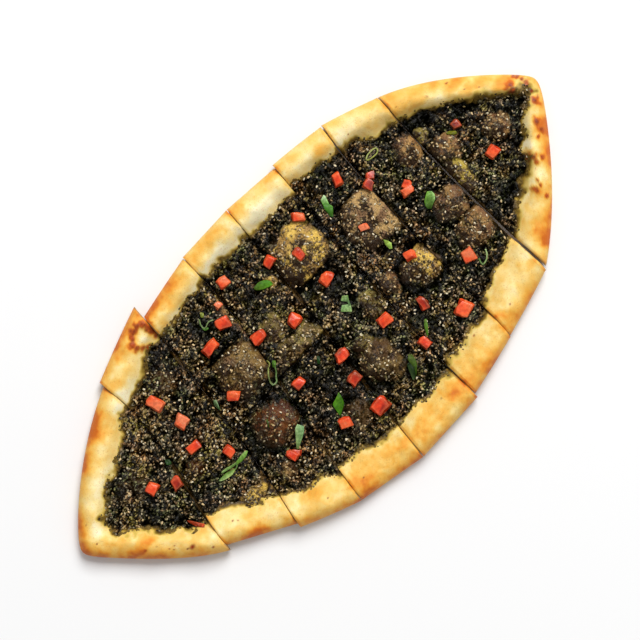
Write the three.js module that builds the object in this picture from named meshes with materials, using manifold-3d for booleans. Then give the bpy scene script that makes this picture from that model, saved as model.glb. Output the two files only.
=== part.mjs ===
// A zaatar fatayer: a boat-shaped flat bread with a rolled rim, spread with zaatar, scattered
// with diced tomato and cut greens, baked, and then cut across into eight strips that still
// lie together. Millimetres, +Z up, the long side along X, the origin under its middle.

import * as THREE from 'three';
import { ConvexGeometry } from 'three/addons/geometries/ConvexGeometry.js';
import { mergeVertices } from 'three/addons/utils/BufferGeometryUtils.js';
import Module from 'manifold-3d';

const wasm = await Module();
wasm.setup();
const { lerp, clamp, smoothstep, degToRad } = THREE.MathUtils;

// ---------------------------------------------------------------- driving dimensions
const loafLength = 500;
const floorThickness = 6.5; // bread under the zaatar
const rimHeight = 17.5; // crest of the rolled rim above the underside
const rimWave = 0.9; // how much the crest rises and falls
const crestInset = 11; // crest to outline
const edgeHeight = 6; // height of the widest line of the rim
const underRadius = 4; // rounding of the lower edge
const footRun = 4; // the rim's inner foot lies this far past the border of the zaatar
const noseRounding = 0.1; // how blunt the two tips are, as a share of the strip

const zaatarThickness = 1.7;
const borderThickness = 0.6;
const borderWave = 1.4; // how far the border wanders
const cragHeight = 0.45;
const layerGap = 0.3;

const markWidth = 1.2; // half width of a knife mark
const markDepth = 1.2;
const markFade = 4;
const domePower = 1.25; // shape of a bubble's flank

const seedLength = 3;
const seedWidth = 1.9;
const seedRise = 0.9;
const seedShare = 0.34; // share of the zaatar's cells that carry a sesame seed

const diceHeight = 5.6;
const leafThickness = 0.6;
const restGap = 0.35; // clearance under each topping

// A knife cut runs from y = bottom to y = top through four evenly spaced x places, and stands
// open by gap at those two ends.
const cuts = [
  { bottom: -62, top: 94, x: [-170, -160.5, -149, -147], gap: [1, 0.9] },
  { bottom: -87, top: 119, x: [-120.5, -106.6, -95.3, -87], gap: [1, 1.8] },
  { bottom: -108, top: 118, x: [-73.4, -59.3, -43, -35], gap: [1, 1.4] },
  { bottom: -119, top: 119.5, x: [-17, -6.5, 5.4, 14.6], gap: [1.2, 1] },
  { bottom: -118, top: 118, x: [44.6, 47.7, 54.8, 63.3], gap: [1.6, 1] },
  { bottom: -104, top: 112, x: [95, 98.6, 102, 110.5], gap: [1, 2.2] },
  { bottom: -87, top: 96, x: [151.4, 151, 152.3, 156.2], gap: [3.4, 1.6] },
];

// The strips from the left tip to the right one. top and bottom are the rim's outline: y at its
// left end, y at its right end and how far it bulges between them. The insets are the width of
// bare crust at the left and right end. A mark is a short knife mark along the loaf, and a
// bubble [x, y, radius along x, radius along y, height] may be cut off at such a mark.
const strips = [
  {
    nose: 'left', noseLimit: 0.37, zaatarColumns: [5, 11],
    top: [17.5, 94, 8.7], bottom: [17.5, -62.6, -8.5],
    topInset: [22, 25], bottomInset: [21, 23],
    marks: [],
    bubbles: [{ dome: [-188, 24, 16, 14, 1.5] }],
  },
  {
    top: [98.3, 119.2, 0], bottom: [-58.1, -85.5, -0.5],
    topInset: [29, 26], bottomInset: [28, 25],
    marks: [],
    bubbles: [
      { dome: [-146, -2, 9, 9, 3.5] },
      { dome: [-114, -42, 10, 9, 2.5] },
      { dome: [-118, 62, 14, 12, 1.5] },
    ],
  },
  {
    top: [108.6, 117.6, 0.4], bottom: [-89.3, -108.6, -0.4],
    topInset: [20, 23], bottomInset: [29, 27],
    marks: [{ y: 46.4, from: -80, to: -43 }, { y: -0.3, from: -101, to: -60 }],
    bubbles: [
      { dome: [-66, 25, 22, 21.4, 7.5], keepBelow: 46.4 },
      { dome: [-78, -20, 21, 18, 9] },
      { dome: [-97, -53, 10, 9, 2.5] },
    ],
  },
  {
    top: [118.6, 119.5, 0], bottom: [-108.6, -119.5, 0],
    topInset: [22, 26], bottomInset: [32, 29],
    marks: [{ y: 0.7, from: -50, to: 2 }],
    bubbles: [
      { dome: [-27, 32, 13, 11, 3.5] },
      { dome: [-22, 8, 22, 12, 4], keepAbove: 0.7 },
      { dome: [-32, -62, 16, 14, 2] },
    ],
  },
  {
    top: [119.5, 115.3, 0], bottom: [-119.5, -117.8, 0],
    topInset: [27, 25], bottomInset: [30, 30],
    marks: [{ y: 36, from: 4, to: 44 }],
    bubbles: [
      { dome: [28, 58, 24, 23, 8.5], keepAbove: 36 },
      { dome: [13, -46, 19, 19, 10] },
      { dome: [14, -27, 9, 8, 4] },
      { dome: [39, -10, 11, 11, 4] },
    ],
  },
  {
    top: [117.8, 111.6, 0.4], bottom: [-114.6, -104.2, -0.4],
    topInset: [22, 23], bottomInset: [30, 28],
    marks: [{ y: 58.5, from: 70, to: 104 }],
    bubbles: [
      { dome: [84, 36, 20, 25, 6.5], keepBelow: 58.5 },
      { dome: [87, -18, 19, 16, 9] },
      { dome: [61, -9.5, 9, 11, 4] },
    ],
  },
  {
    top: [111.8, 96, 0.6], bottom: [-103.3, -88.4, -0.4],
    topInset: [23, 24], bottomInset: [32, 34],
    marks: [{ y: 16, from: 132, to: 152 }, { y: -14, from: 121, to: 152 }],
    bubbles: [
      { dome: [137, -28, 17, 16, 6.5], keepBelow: -14 },
      { dome: [137, 1, 16, 16, 5] },
      { dome: [143, 50, 12, 15, 4] },
      { dome: [87, -18, 19, 16, 7] },
    ],
  },
  {
    nose: 'right', noseLimit: 0.3, zaatarColumns: [0, 8],
    top: [95.4, 18.2, 9.5], bottom: [-86.1, 18.2, -9.5],
    topInset: [23, 11], bottomInset: [28, 12],
    marks: [],
    bubbles: [
      { dome: [166, 30, 13, 12, 5] },
      { dome: [203, 15, 13, 11, 6] },
      { dome: [161, 7, 8, 8, 2.5] },
      { dome: [209, -16, 10, 8, 3] },
    ],
  },
];

// Tomato pieces: [x, y, length, width, turn in degrees, thickness as a share of the usual].
// A partner is a second piece baked onto the first, as far aside as it says.
const tomatoPieces = [
  { place: [-178.3, 13.1, 12, 11, 15, 1] },
  { place: [-162.6, 2.5, 9.5, 11.5, -12, 0.6] },
  { place: [-129.4, 55.8, 11, 15.5, 12, 0.9] },
  { place: [-125.6, 32, 11, 12, 20, 0.8] },
  { place: [-134.1, 12.2, 13, 9.5, -8, 1] },
  { place: [-116.8, -9.5, 8.5, 11.5, 5, 1] },
  { place: [-84.3, 17.6, 13, 9, -42, 1] },
  { place: [-85.2, -46.6, 8, 11, 10, 0.9], partner: [3.6, -1.6, 6, 8] },
  { place: [-70.6, 55.1, 17, 9.5, 0, 1] },
  { place: [-50, 61.4, 12.5, 10.5, -20, 1] },
  { place: [-42.6, 73.2, 6.5, 7.5, 0, 0.8] },
  { place: [-27.4, 82.8, 12, 10.5, -10, 0.9] },
  { place: [-39.2, 34.5, 15, 9, -4, 1] },
  { place: [-10.3, 24.1, 12, 11, 8, 1] },
  { place: [8.4, 68.5, 11, 9.5, 14, 0.9] },
  { place: [28.7, 56.2, 8, 10.5, 4, 0.6] },
  { place: [49.1, 75.8, 12, 8, -45, 1] },
  { place: [29.2, 28.2, 14, 10.5, 10, 1] },
  { place: [-4.2, -20.8, 12.5, 10.5, -12, 1] },
  { place: [-43.4, -11.9, 13, 9, 5, 0.9] },
  { place: [-11.1, -40, 12.5, 10.5, 10, 0.8] },
  { place: [37.7, -26, 12, 11.5, -6, 1] },
  { place: [-12.2, -68.6, 15.5, 13, 4, 1.1] },
  { place: [-40.1, -58.3, 12, 9.5, -28, 1] },
  { place: [46.2, -60.1, 9.5, 11.5, 8, 1] },
  { place: [66.6, -38.4, 9.5, 13, -14, 0.9] },
  { place: [85.5, -63.7, 14, 13, 20, 1.1] },
  { place: [86.2, -4.9, 11, 9.5, -18, 1] },
  { place: [76.8, 34.7, 9.5, 6.5, -24, 0.5] },
  { place: [89.5, 74.4, 8.5, 12, -18, 1] },
  { place: [103.5, 54.5, 8.5, 10.5, 20, 0.9], partner: [7, 1.8, 8, 9] },
  { place: [120.5, 29.2, 10.5, 7.5, -12, 0.9], partner: [1.2, 5, 8.5, 7] },
  { place: [116.8, -37.9, 10.5, 12.5, -16, 1] },
  { place: [186.7, 3.8, 11.5, 11, 8, 1] },
  { place: [182.1, 38.4, 9.5, 7.5, -8, 0.8] },
];

// Cut greens: [x, y, length, width, turn in degrees], how far the two sides curl up, and
// where the widest place lies along the length. A fork splits the leaf from its start.
const greens = [
  { name: 'forked_leaf', place: [-123.8, -21.2, 29, 7.4, -2], curl: 1.6, widest: 0.62, fork: 0.5 },
  { name: 'long_leaf', place: [-69.6, -38.2, 19, 7, 41], curl: 1.4, widest: 0.66 },
  { name: 'diamond_leaf', place: [-32.2, -44.5, 17, 8.6, 46], curl: 0.7, widest: 0.5 },
  { name: 'curled_leaf', place: [26.7, -64, 16, 8, 46], curl: 2.6, widest: 0.55 },
  { name: 'sprig', place: [-50.6, 7.7, 20, 6.4, 48], curl: 0.9, widest: 0.7, fork: 0.6 },
  { name: 'onion_slice_1', place: [70.4, 66.7, 14.5, 7.6, 68], curl: 2, widest: 0.5 },
  { name: 'onion_slice_2', place: [127.6, 12.6, 13.5, 8, 20], curl: 2.2, widest: 0.5 },
  { name: 'onion_slice_3', place: [-6.9, 59.1, 13.5, 7, -14], curl: 1.2, widest: 0.45 },
  { name: 'crumpled_leaf', place: [26, 4, 13.5, 10, 70], curl: 1.8, widest: 0.6 },
];

// Small greens that are baked onto the zaatar of one strip.
const smallGreens = [
  { strip: 5, place: [80.6, 12, 9.5, 5.4, 88], curl: 0.3, widest: 0.5 },
  { strip: 5, place: [56.6, -50.6, 11, 3.6, 50], curl: 0.2, widest: 0.5 },
  { strip: 6, place: [121.8, 69.4, 12, 6.5, 4], curl: 0.3, widest: 0.5 },
  { strip: 6, place: [125.2, -46.7, 10, 6, 40], curl: 0.3, widest: 0.5 },
  { strip: 2, place: [-61.5, 74, 14, 4, 60], curl: 0.2, widest: 0.5 },
];

// ---------------------------------------------------------------- materials
function finish(color, roughness) {
  return new THREE.MeshStandardMaterial({ color, roughness, metalness: 0 });
}

// ---------------------------------------------------------------- plan of a strip
strips.forEach((strip, index) => {
  strip.index = index;
  strip.left = cuts[index - 1];
  strip.right = cuts[index];
});

// The cubic through the four x places of a cut, at the height y.
function cutX(cut, y) {
  const s = (3 * (y - cut.bottom)) / (cut.top - cut.bottom);
  const [a, b, c, d] = cut.x;
  const lower = (-a * (s - 1) * (s - 2) * (s - 3)) / 6 + (b * s * (s - 2) * (s - 3)) / 2;
  const upper = (-c * s * (s - 1) * (s - 3)) / 2 + (d * s * (s - 1) * (s - 2)) / 6;
  return lower + upper;
}

function halfGap(cut, y) {
  const along = clamp((y - cut.bottom) / (cut.top - cut.bottom), 0, 1);
  return lerp(cut.gap[0], cut.gap[1], along) / 2;
}

// x at the share u between the strip's left and right side, at the height y.
function planX(strip, u, y) {
  const left = strip.left ? cutX(strip.left, y) + halfGap(strip.left, y) : -loafLength / 2;
  const right = strip.right ? cutX(strip.right, y) - halfGap(strip.right, y) : loafLength / 2;
  return lerp(left, right, u);
}

// A square-root start makes the tip of the loaf round instead of pointed.
function roundedShare(share) {
  return Math.sqrt(share * share + noseRounding * share * (1 - share));
}

function edgeY(strip, side, u) {
  const [left, right, bulge] = strip[side];
  let share = u;
  if (strip.nose === 'left') share = roundedShare(u);
  if (strip.nose === 'right') share = 1 - roundedShare(1 - u);
  return lerp(left, right, share) + 4 * bulge * share * (1 - share);
}

// Columns stand closer together towards a tip.
const columnCount = (strip) => (strip.nose ? 11 : 5);
function columnShare(strip, k) {
  const t = k / columnCount(strip);
  if (strip.nose === 'left') return t ** 1.5;
  if (strip.nose === 'right') return 1 - (1 - t) ** 1.5;
  return t;
}

// The outline of one rim as a chain of points, carried on straight past the cuts.
function edgeChain(strip, side) {
  const steps = 4 * columnCount(strip);
  const chain = [];
  for (let k = 0; k <= steps; k += 1) {
    const u = columnShare(strip, k / 4);
    const y = edgeY(strip, side, u);
    chain.push(new THREE.Vector2(planX(strip, u, y), y));
  }
  const beyond = (end, inner) => end.clone().add(end.clone().sub(inner).setLength(60));
  if (strip.left) chain.unshift(beyond(chain[0], chain[1]));
  if (strip.right) chain.push(beyond(chain[chain.length - 1], chain[chain.length - 2]));
  return chain;
}

function distanceTo(chain, x, y) {
  let nearest = Infinity;
  for (let k = 1; k < chain.length; k += 1) {
    const a = chain[k - 1];
    const b = chain[k];
    const dx = b.x - a.x;
    const dy = b.y - a.y;
    const along = clamp(((x - a.x) * dx + (y - a.y) * dy) / (dx * dx + dy * dy), 0, 1);
    nearest = Math.min(nearest, Math.hypot(x - a.x - along * dx, y - a.y - along * dy));
  }
  return nearest;
}

strips.forEach((strip) => {
  strip.chains = { top: edgeChain(strip, 'top'), bottom: edgeChain(strip, 'bottom') };
});

// Width of bare crust at the share u along a rim, measured square to the outline.
function crustWidth(strip, side, u) {
  const [left, right] = strip[`${side}Inset`];
  const wander = Math.sin(11 * u + 2.3 * strip.index + (side === 'top' ? 0 : 1.9));
  return lerp(left, right, u) + borderWave * wander;
}

// ---------------------------------------------------------------- height of the bread
// The rim is full up to its crest and falls by a cosine to its inner foot.
function rimShare(distance, width) {
  const fall = clamp((distance - crestInset) / (width + footRun - crestInset), 0, 1);
  return 0.5 + 0.5 * Math.cos(Math.PI * fall);
}

function bubbleHeight(bubble, x, y) {
  const [centreX, centreY, radiusX, radiusY, height] = bubble.dome;
  const reach = ((x - centreX) / radiusX) ** 2 + ((y - centreY) / radiusY) ** 2;
  if (reach >= 1) return 0;
  const { keepAbove = -Infinity, keepBelow = Infinity } = bubble;
  const kept = clamp((y - keepAbove) / markWidth, 0, 1) * clamp((keepBelow - y) / markWidth, 0, 1);
  return height * kept * (1 - reach) ** domePower;
}

function markHeight(mark, x, y) {
  const across = clamp(1 - Math.abs(y - mark.y) / markWidth, 0, 1);
  const along = smoothstep(x, mark.from - markFade, mark.from)
    * (1 - smoothstep(x, mark.to, mark.to + markFade));
  return -markDepth * across * along;
}

// The rounding of an edge: a quarter ellipse from 0 at the outline to 1 at the given inset.
const rounding = (distance, inset) => Math.sqrt(1 - (1 - clamp(distance / inset, 0, 1)) ** 2);

function breadTop(strip, x, y, u) {
  const toTop = distanceTo(strip.chains.top, x, y);
  const toBottom = distanceTo(strip.chains.bottom, x, y);
  const upperRim = rimShare(toTop, crustWidth(strip, 'top', u));
  const lowerRim = rimShare(toBottom, crustWidth(strip, 'bottom', u));
  const rim = 1 - (1 - upperRim) * (1 - lowerRim);
  const crest = rimHeight + rimWave * Math.sin(x / 17 + y / 40 + 1.3 * strip.index);
  let height = lerp(floorThickness, crest, rim);
  strip.bubbles.forEach((bubble) => {
    height += bubbleHeight(bubble, x, y);
  });
  strip.marks.forEach((mark) => {
    height += markHeight(mark, x, y);
  });
  return lerp(edgeHeight, height, rounding(Math.min(toTop, toBottom), crestInset));
}

function breadUnder(strip, x, y) {
  const toTop = distanceTo(strip.chains.top, x, y);
  const toBottom = distanceTo(strip.chains.bottom, x, y);
  return edgeHeight * (1 - rounding(Math.min(toTop, toBottom), underRadius));
}

// ---------------------------------------------------------------- grid of a strip
const rimSteps = [0, 0.05, 0.17, 0.42, 0.72, 1];
const rimCells = rimSteps.length - 1;
const columnRows = (strip) => (strip.nose ? 11 : 20);

// How far up or down a column the border of the zaatar lies from the outline.
function borderReach(strip, side, u, height) {
  const probe = 8;
  const inward = side === 'top' ? -probe : probe;
  const y = edgeY(strip, side, u) + inward;
  const square = distanceTo(strip.chains[side], planX(strip, u, y), y) / probe;
  return Math.min(crustWidth(strip, side, u) / square, (strip.noseLimit ?? 0.45) * height);
}

// The y places of all grid points of the column at the share u. Rows inside the zaatar are
// evenly spaced, and three rows follow each knife mark.
function columnPlaces(strip, u) {
  const low = edgeY(strip, 'bottom', u);
  const high = edgeY(strip, 'top', u);
  const borderLow = low + borderReach(strip, 'bottom', u, high - low);
  const borderHigh = high - borderReach(strip, 'top', u, high - low);
  const inner = strip.innerRows.map((row) => row.y ?? lerp(borderLow, borderHigh, row.share));
  const lowerRim = rimSteps.slice(0, rimCells).map((step) => lerp(low, borderLow, step));
  const upperRim = rimSteps.slice(0, rimCells).map((step) => lerp(high, borderHigh, step));
  return [...lowerRim, borderLow, ...inner, borderHigh, ...upperRim.reverse()];
}

// Rows between the two borders, as a share of the way or as a fixed y at a knife mark.
function innerRows(strip) {
  const middle = 0.5;
  const low = edgeY(strip, 'bottom', middle) + crustWidth(strip, 'bottom', middle);
  const high = edgeY(strip, 'top', middle) - crustWidth(strip, 'top', middle);
  const count = columnRows(strip);
  const rows = [];
  for (let k = 1; k < count; k += 1) {
    const y = lerp(low, high, k / count);
    const nearMark = strip.marks.some((mark) => Math.abs(mark.y - y) < 0.75 * ((high - low) / count));
    if (!nearMark) rows.push({ share: k / count, order: y });
  }
  strip.marks.forEach((mark) => {
    [-markWidth, 0, markWidth].forEach((side) => {
      rows.push({ y: mark.y + side, order: mark.y + side });
    });
  });
  return rows.sort((a, b) => a.order - b.order);
}

// Grid points of the strip's upper side and underside, indexed by column and row.
function stripGrid(strip) {
  strip.innerRows = innerRows(strip);
  const columns = columnCount(strip);
  const upper = [];
  const under = [];
  for (let i = 0; i <= columns; i += 1) {
    const u = columnShare(strip, i);
    const places = columnPlaces(strip, u);
    const last = places.length - 1;
    upper.push(places.map((y, j) => {
      const x = planX(strip, u, y);
      const z = j === 0 || j === last ? edgeHeight : breadTop(strip, x, y, u);
      return new THREE.Vector3(x, y, z);
    }));
    under.push(upper[i].map((point, j) => {
      if (j === 0 || j === last) return point;
      return new THREE.Vector3(point.x, point.y, breadUnder(strip, point.x, point.y));
    }));
  }
  const tip = strip.nose === 'left' ? 0 : columns;
  if (strip.nose) {
    upper[tip].forEach((point) => point.setZ(edgeHeight));
    under[tip].forEach((point) => point.setZ(edgeHeight));
  }
  return { columns, rows: upper[0].length - 1, upper, under };
}

// ---------------------------------------------------------------- meshes from triangles
class Faces {
  constructor() {
    this.corners = [];
  }

  triangle(a, b, c) {
    this.corners.push(a, b, c);
  }

  quad(a, b, c, d) {
    this.triangle(a, b, c);
    this.triangle(a, c, d);
  }

  // A flat polygon given counter-clockwise as seen from above, with holes in it.
  polygon(contour, holes = [], facingUp = true) {
    const flat = (points) => points.map((point) => new THREE.Vector2(point.x, point.y));
    const cleared = holes.map((hole) => [...hole].reverse());
    const points = [contour, ...cleared].flat();
    THREE.ShapeUtils.triangulateShape(flat(contour), cleared.map(flat)).forEach(([a, b, c]) => {
      if (facingUp) this.triangle(points[a], points[b], points[c]);
      else this.triangle(points[a], points[c], points[b]);
    });
  }

  // The closed surface, with shared corners merged and empty triangles dropped.
  geometry() {
    const position = this.corners.flatMap((point) => [point.x, point.y, point.z]);
    const loose = new THREE.BufferGeometry();
    loose.setAttribute('position', new THREE.Float32BufferAttribute(position, 3));
    return withoutEmptyFaces(mergeVertices(loose, 1e-4));
  }
}

function withoutEmptyFaces(geometry) {
  const index = Array.from(geometry.index.array);
  const kept = [];
  for (let k = 0; k < index.length; k += 3) {
    const [a, b, c] = index.slice(k, k + 3);
    if (a !== b && b !== c && c !== a) kept.push(a, b, c);
  }
  geometry.setIndex(kept);
  return geometry;
}

// ---------------------------------------------------------------- bread
const roundedRows = 2; // rows of the rounded lower edge, beside the flat underside

function breadGeometry(strip) {
  const { columns, rows, upper, under } = strip.grid;
  const faces = new Faces();
  for (let i = 0; i < columns; i += 1) {
    const tipCell = strip.nose && i === (strip.nose === 'left' ? 0 : columns - 1);
    for (let j = 0; j < rows; j += 1) {
      const rounded = j < roundedRows || j >= rows - roundedRows;
      faces.quad(upper[i][j], upper[i + 1][j], upper[i + 1][j + 1], upper[i][j + 1]);
      if (rounded || tipCell) {
        faces.quad(under[i][j], under[i][j + 1], under[i + 1][j + 1], under[i + 1][j]);
      }
    }
  }
  const first = strip.nose === 'left' ? 1 : 0;
  const last = strip.nose === 'right' ? columns - 1 : columns;
  const contour = [];
  for (let i = first; i < last; i += 1) contour.push(under[i][roundedRows]);
  for (let j = roundedRows; j < rows - roundedRows; j += 1) contour.push(under[last][j]);
  for (let i = last; i > first; i -= 1) contour.push(under[i][rows - roundedRows]);
  for (let j = rows - roundedRows; j > roundedRows; j -= 1) contour.push(under[first][j]);
  faces.polygon(contour, [], false);
  for (let j = 0; j < rows; j += 1) {
    if (strip.left) faces.quad(upper[0][j], upper[0][j + 1], under[0][j + 1], under[0][j]);
    if (strip.right) {
      const end = columns;
      faces.quad(upper[end][j], under[end][j], under[end][j + 1], upper[end][j + 1]);
    }
  }
  return faces.geometry();
}

// ---------------------------------------------------------------- zaatar and sesame
// A repeatable stream of numbers between 0 and 1.
function randomStream(seed) {
  let state = seed;
  return () => {
    state = (state + 0x6d2b79f5) % 4294967296;
    let mixed = Math.imul(state ^ (state >>> 15), 1 | state);
    mixed = (mixed + Math.imul(mixed ^ (mixed >>> 7), 61 | mixed)) ^ mixed;
    return ((mixed ^ (mixed >>> 14)) >>> 0) / 4294967296;
  };
}

const crag = (x, y) => cragHeight * Math.sin(1.7 * x + 2.1 * Math.sin(0.9 * y)) * Math.cos(1.3 * y);

const toppingPlaces = [...tomatoPieces, ...greens, ...smallGreens].map((piece) => piece.place);

// Whether a point lies clear of every topping by more than a seed's length.
function clearOfToppings(x, y) {
  return toppingPlaces.every(([centreX, centreY, length, width]) => {
    const reach = Math.max(length, width) / 2 + 1.2 * seedLength;
    return Math.hypot(x - centreX, y - centreY) > reach;
  });
}

// A sesame seed rising from the cell of the layer given by its four corners.
function addSeed(faces, corners, random) {
  const [a, b, c, d] = corners;
  const u = lerp(0.38, 0.62, random());
  const v = lerp(0.38, 0.62, random());
  const centre = a.clone().lerp(b, u).lerp(d.clone().lerp(c, u), v);
  const turn = Math.PI * random();
  const level = (x, y) => {
    const plane = new THREE.Plane().setFromCoplanarPoints(a, b, d);
    return (-plane.constant - plane.normal.x * x - plane.normal.y * y) / plane.normal.z;
  };
  const around = (along, across, rise) => {
    const x = centre.x + along * Math.cos(turn) - across * Math.sin(turn);
    const y = centre.y + along * Math.sin(turn) + across * Math.cos(turn);
    return new THREE.Vector3(x, y, level(x, y) + rise);
  };
  const ring = [];
  for (let k = 0; k < 6; k += 1) {
    const angle = (Math.PI * k) / 3;
    ring.push(around((seedLength / 2) * Math.cos(angle), (seedWidth / 2) * Math.sin(angle), 0));
  }
  const front = around(seedLength / 5, 0, seedRise);
  const back = around(-seedLength / 5, 0, seedRise);
  faces.polygon(corners, [ring]);
  faces.triangle(ring[0], ring[1], front);
  faces.quad(ring[1], ring[2], back, front);
  faces.triangle(ring[2], ring[3], back);
  faces.triangle(ring[3], ring[4], back);
  faces.quad(ring[4], ring[5], front, back);
  faces.triangle(ring[5], ring[0], front);
}

// The layer lies on the bread between the two borders. It has the bread's own grid, so the
// gap under it is the same everywhere.
function zaatarGeometry(strip) {
  const { columns, rows, upper } = strip.grid;
  const [first, last] = strip.zaatarColumns ?? [0, columns];
  const low = rimCells;
  const high = rows - rimCells;
  const random = randomStream(101 + strip.index);
  const lifted = (point, rise) => new THREE.Vector3(point.x, point.y, point.z + rise);
  const lower = upper.map((column) => column.map((point) => lifted(point, layerGap)));
  const top = upper.map((column, i) => column.map((point, j) => {
    const tipBorder = strip.nose && i === (strip.nose === 'left' ? first : last);
    const border = j === low || j === high || tipBorder;
    const thickness = border ? borderThickness : zaatarThickness + crag(point.x, point.y);
    return lifted(point, layerGap + thickness);
  }));
  const faces = new Faces();
  let cell = 0;
  for (let i = first; i < last; i += 1) {
    for (let j = low; j < high; j += 1) {
      const corners = [top[i][j], top[i + 1][j], top[i + 1][j + 1], top[i][j + 1]];
      const wide = corners[3].y - corners[0].y > 2 * seedLength - 1;
      const chosen = (cell * 0.618034) % 1 < seedShare;
      const middle = corners[0].clone().lerp(corners[2], 0.5);
      if (wide && chosen && clearOfToppings(middle.x, middle.y)) addSeed(faces, corners, random);
      else faces.quad(...corners);
      faces.quad(lower[i][j], lower[i][j + 1], lower[i + 1][j + 1], lower[i + 1][j]);
      cell += 1;
    }
  }
  for (let j = low; j < high; j += 1) {
    faces.quad(top[first][j], top[first][j + 1], lower[first][j + 1], lower[first][j]);
    faces.quad(top[last][j], lower[last][j], lower[last][j + 1], top[last][j + 1]);
  }
  for (let i = first; i < last; i += 1) {
    faces.quad(top[i][low], lower[i][low], lower[i + 1][low], top[i + 1][low]);
    faces.quad(top[i][high], top[i + 1][high], lower[i + 1][high], lower[i][high]);
  }
  return faces.geometry();
}

// ---------------------------------------------------------------- joining solids
function toSolid(geometry) {
  const bare = geometry.clone();
  bare.deleteAttribute('normal');
  bare.deleteAttribute('uv');
  const merged = withoutEmptyFaces(mergeVertices(bare, 1e-4));
  return new wasm.Manifold(new wasm.Mesh({
    numProp: 3,
    vertProperties: new Float32Array(merged.attributes.position.array),
    triVerts: new Uint32Array(merged.index.array),
  }));
}

function fromSolid(solid) {
  const mesh = solid.getMesh();
  const geometry = new THREE.BufferGeometry();
  geometry.setAttribute('position', new THREE.BufferAttribute(mesh.vertProperties, 3));
  geometry.setIndex(Array.from(mesh.triVerts));
  return geometry;
}

// ---------------------------------------------------------------- resting on the layer
// Triangles of a placed mesh as corner triples in the loaf's frame.
function trianglesOf(mesh) {
  mesh.updateMatrixWorld(true);
  const { position } = mesh.geometry.attributes;
  const index = mesh.geometry.index ? Array.from(mesh.geometry.index.array) : null;
  const count = index ? index.length : position.count;
  const corners = [];
  for (let k = 0; k < count; k += 1) {
    const point = new THREE.Vector3().fromBufferAttribute(position, index ? index[k] : k);
    corners.push(point.applyMatrix4(mesh.matrixWorld));
  }
  const triangles = [];
  for (let k = 0; k < count; k += 3) triangles.push(corners.slice(k, k + 3));
  return triangles;
}

function near(triangles, box) {
  return triangles.filter((corners) => box.intersectsBox(new THREE.Box3().setFromPoints(corners)));
}

// All heights at which the upright line at x, y meets the triangles.
function heightsAt(triangles, x, y) {
  const heights = [];
  triangles.forEach(([a, b, c]) => {
    const area = (b.x - a.x) * (c.y - a.y) - (c.x - a.x) * (b.y - a.y);
    if (Math.abs(area) < 1e-9) return;
    const v = ((x - a.x) * (c.y - a.y) - (c.x - a.x) * (y - a.y)) / area;
    const w = ((b.x - a.x) * (y - a.y) - (x - a.x) * (b.y - a.y)) / area;
    if (v >= 0 && w >= 0 && v + w <= 1) heights.push(a.z + v * (b.z - a.z) + w * (c.z - a.z));
  });
  return heights;
}

// The rise that leaves the piece just clear of the ground below it, sampled on a fine grid
// and at the corners of both.
function restingRise(piece, ground) {
  const step = 0.6;
  const box = new THREE.Box3().setFromPoints(piece.flat());
  const below = near(ground, box.clone().expandByVector(new THREE.Vector3(1, 1, 60)));
  const samples = [...piece.flat(), ...below.flat()].filter((point) => (
    point.x >= box.min.x && point.x <= box.max.x && point.y >= box.min.y && point.y <= box.max.y
  ));
  for (let x = box.min.x; x <= box.max.x; x += step) {
    for (let y = box.min.y; y <= box.max.y; y += step) samples.push({ x, y });
  }
  let rise = -Infinity;
  samples.forEach(({ x, y }) => {
    const own = heightsAt(piece, x, y);
    const under = heightsAt(below, x, y);
    if (own.length && under.length) rise = Math.max(rise, Math.max(...under) - Math.min(...own));
  });
  return rise + restGap;
}

// Height and slope of the ground round a place, from four points beside it.
function groundTilt(ground, x, y, reach) {
  const box = new THREE.Box3(
    new THREE.Vector3(x - reach - 1, y - reach - 1, -50),
    new THREE.Vector3(x + reach + 1, y + reach + 1, 50),
  );
  const below = near(ground, box);
  const height = (dx, dy) => {
    const heights = heightsAt(below, x + dx, y + dy);
    return heights.length ? Math.max(...heights) : null;
  };
  const middle = height(0, 0) ?? height(1, 0) ?? height(-2, 0) ?? floorThickness;
  const slopeX = ((height(reach, 0) ?? middle) - (height(-reach, 0) ?? middle)) / (2 * reach);
  const slopeY = ((height(0, reach) ?? middle) - (height(0, -reach) ?? middle)) / (2 * reach);
  return { middle, normal: new THREE.Vector3(-slopeX, -slopeY, 1).normalize() };
}

// ---------------------------------------------------------------- tomato
// A hand-cut piece: the corners of a slab, each moved a little, wider at the bottom.
function diceGeometry(length, width, height, random) {
  const points = [];
  [-1, 1].forEach((side) => [-1, 1].forEach((end) => {
    const cornerX = side * (length / 2) * lerp(0.72, 1, random());
    const cornerY = end * (width / 2) * lerp(0.72, 1, random());
    const narrow = lerp(0.68, 0.92, random());
    points.push(new THREE.Vector3(cornerX, cornerY, -0.5 * height * lerp(0.8, 1, random())));
    points.push(new THREE.Vector3(cornerX * narrow, cornerY * narrow, 0.5 * height * lerp(0.55, 1, random())));
  }));
  points.push(new THREE.Vector3((length / 2) * lerp(-0.5, 0.5, random()), (width / 2) * 0.96, 0));
  points.push(new THREE.Vector3((length / 2) * 0.98, (width / 2) * lerp(-0.5, 0.5, random()), 0));
  return new ConvexGeometry(points);
}

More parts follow.
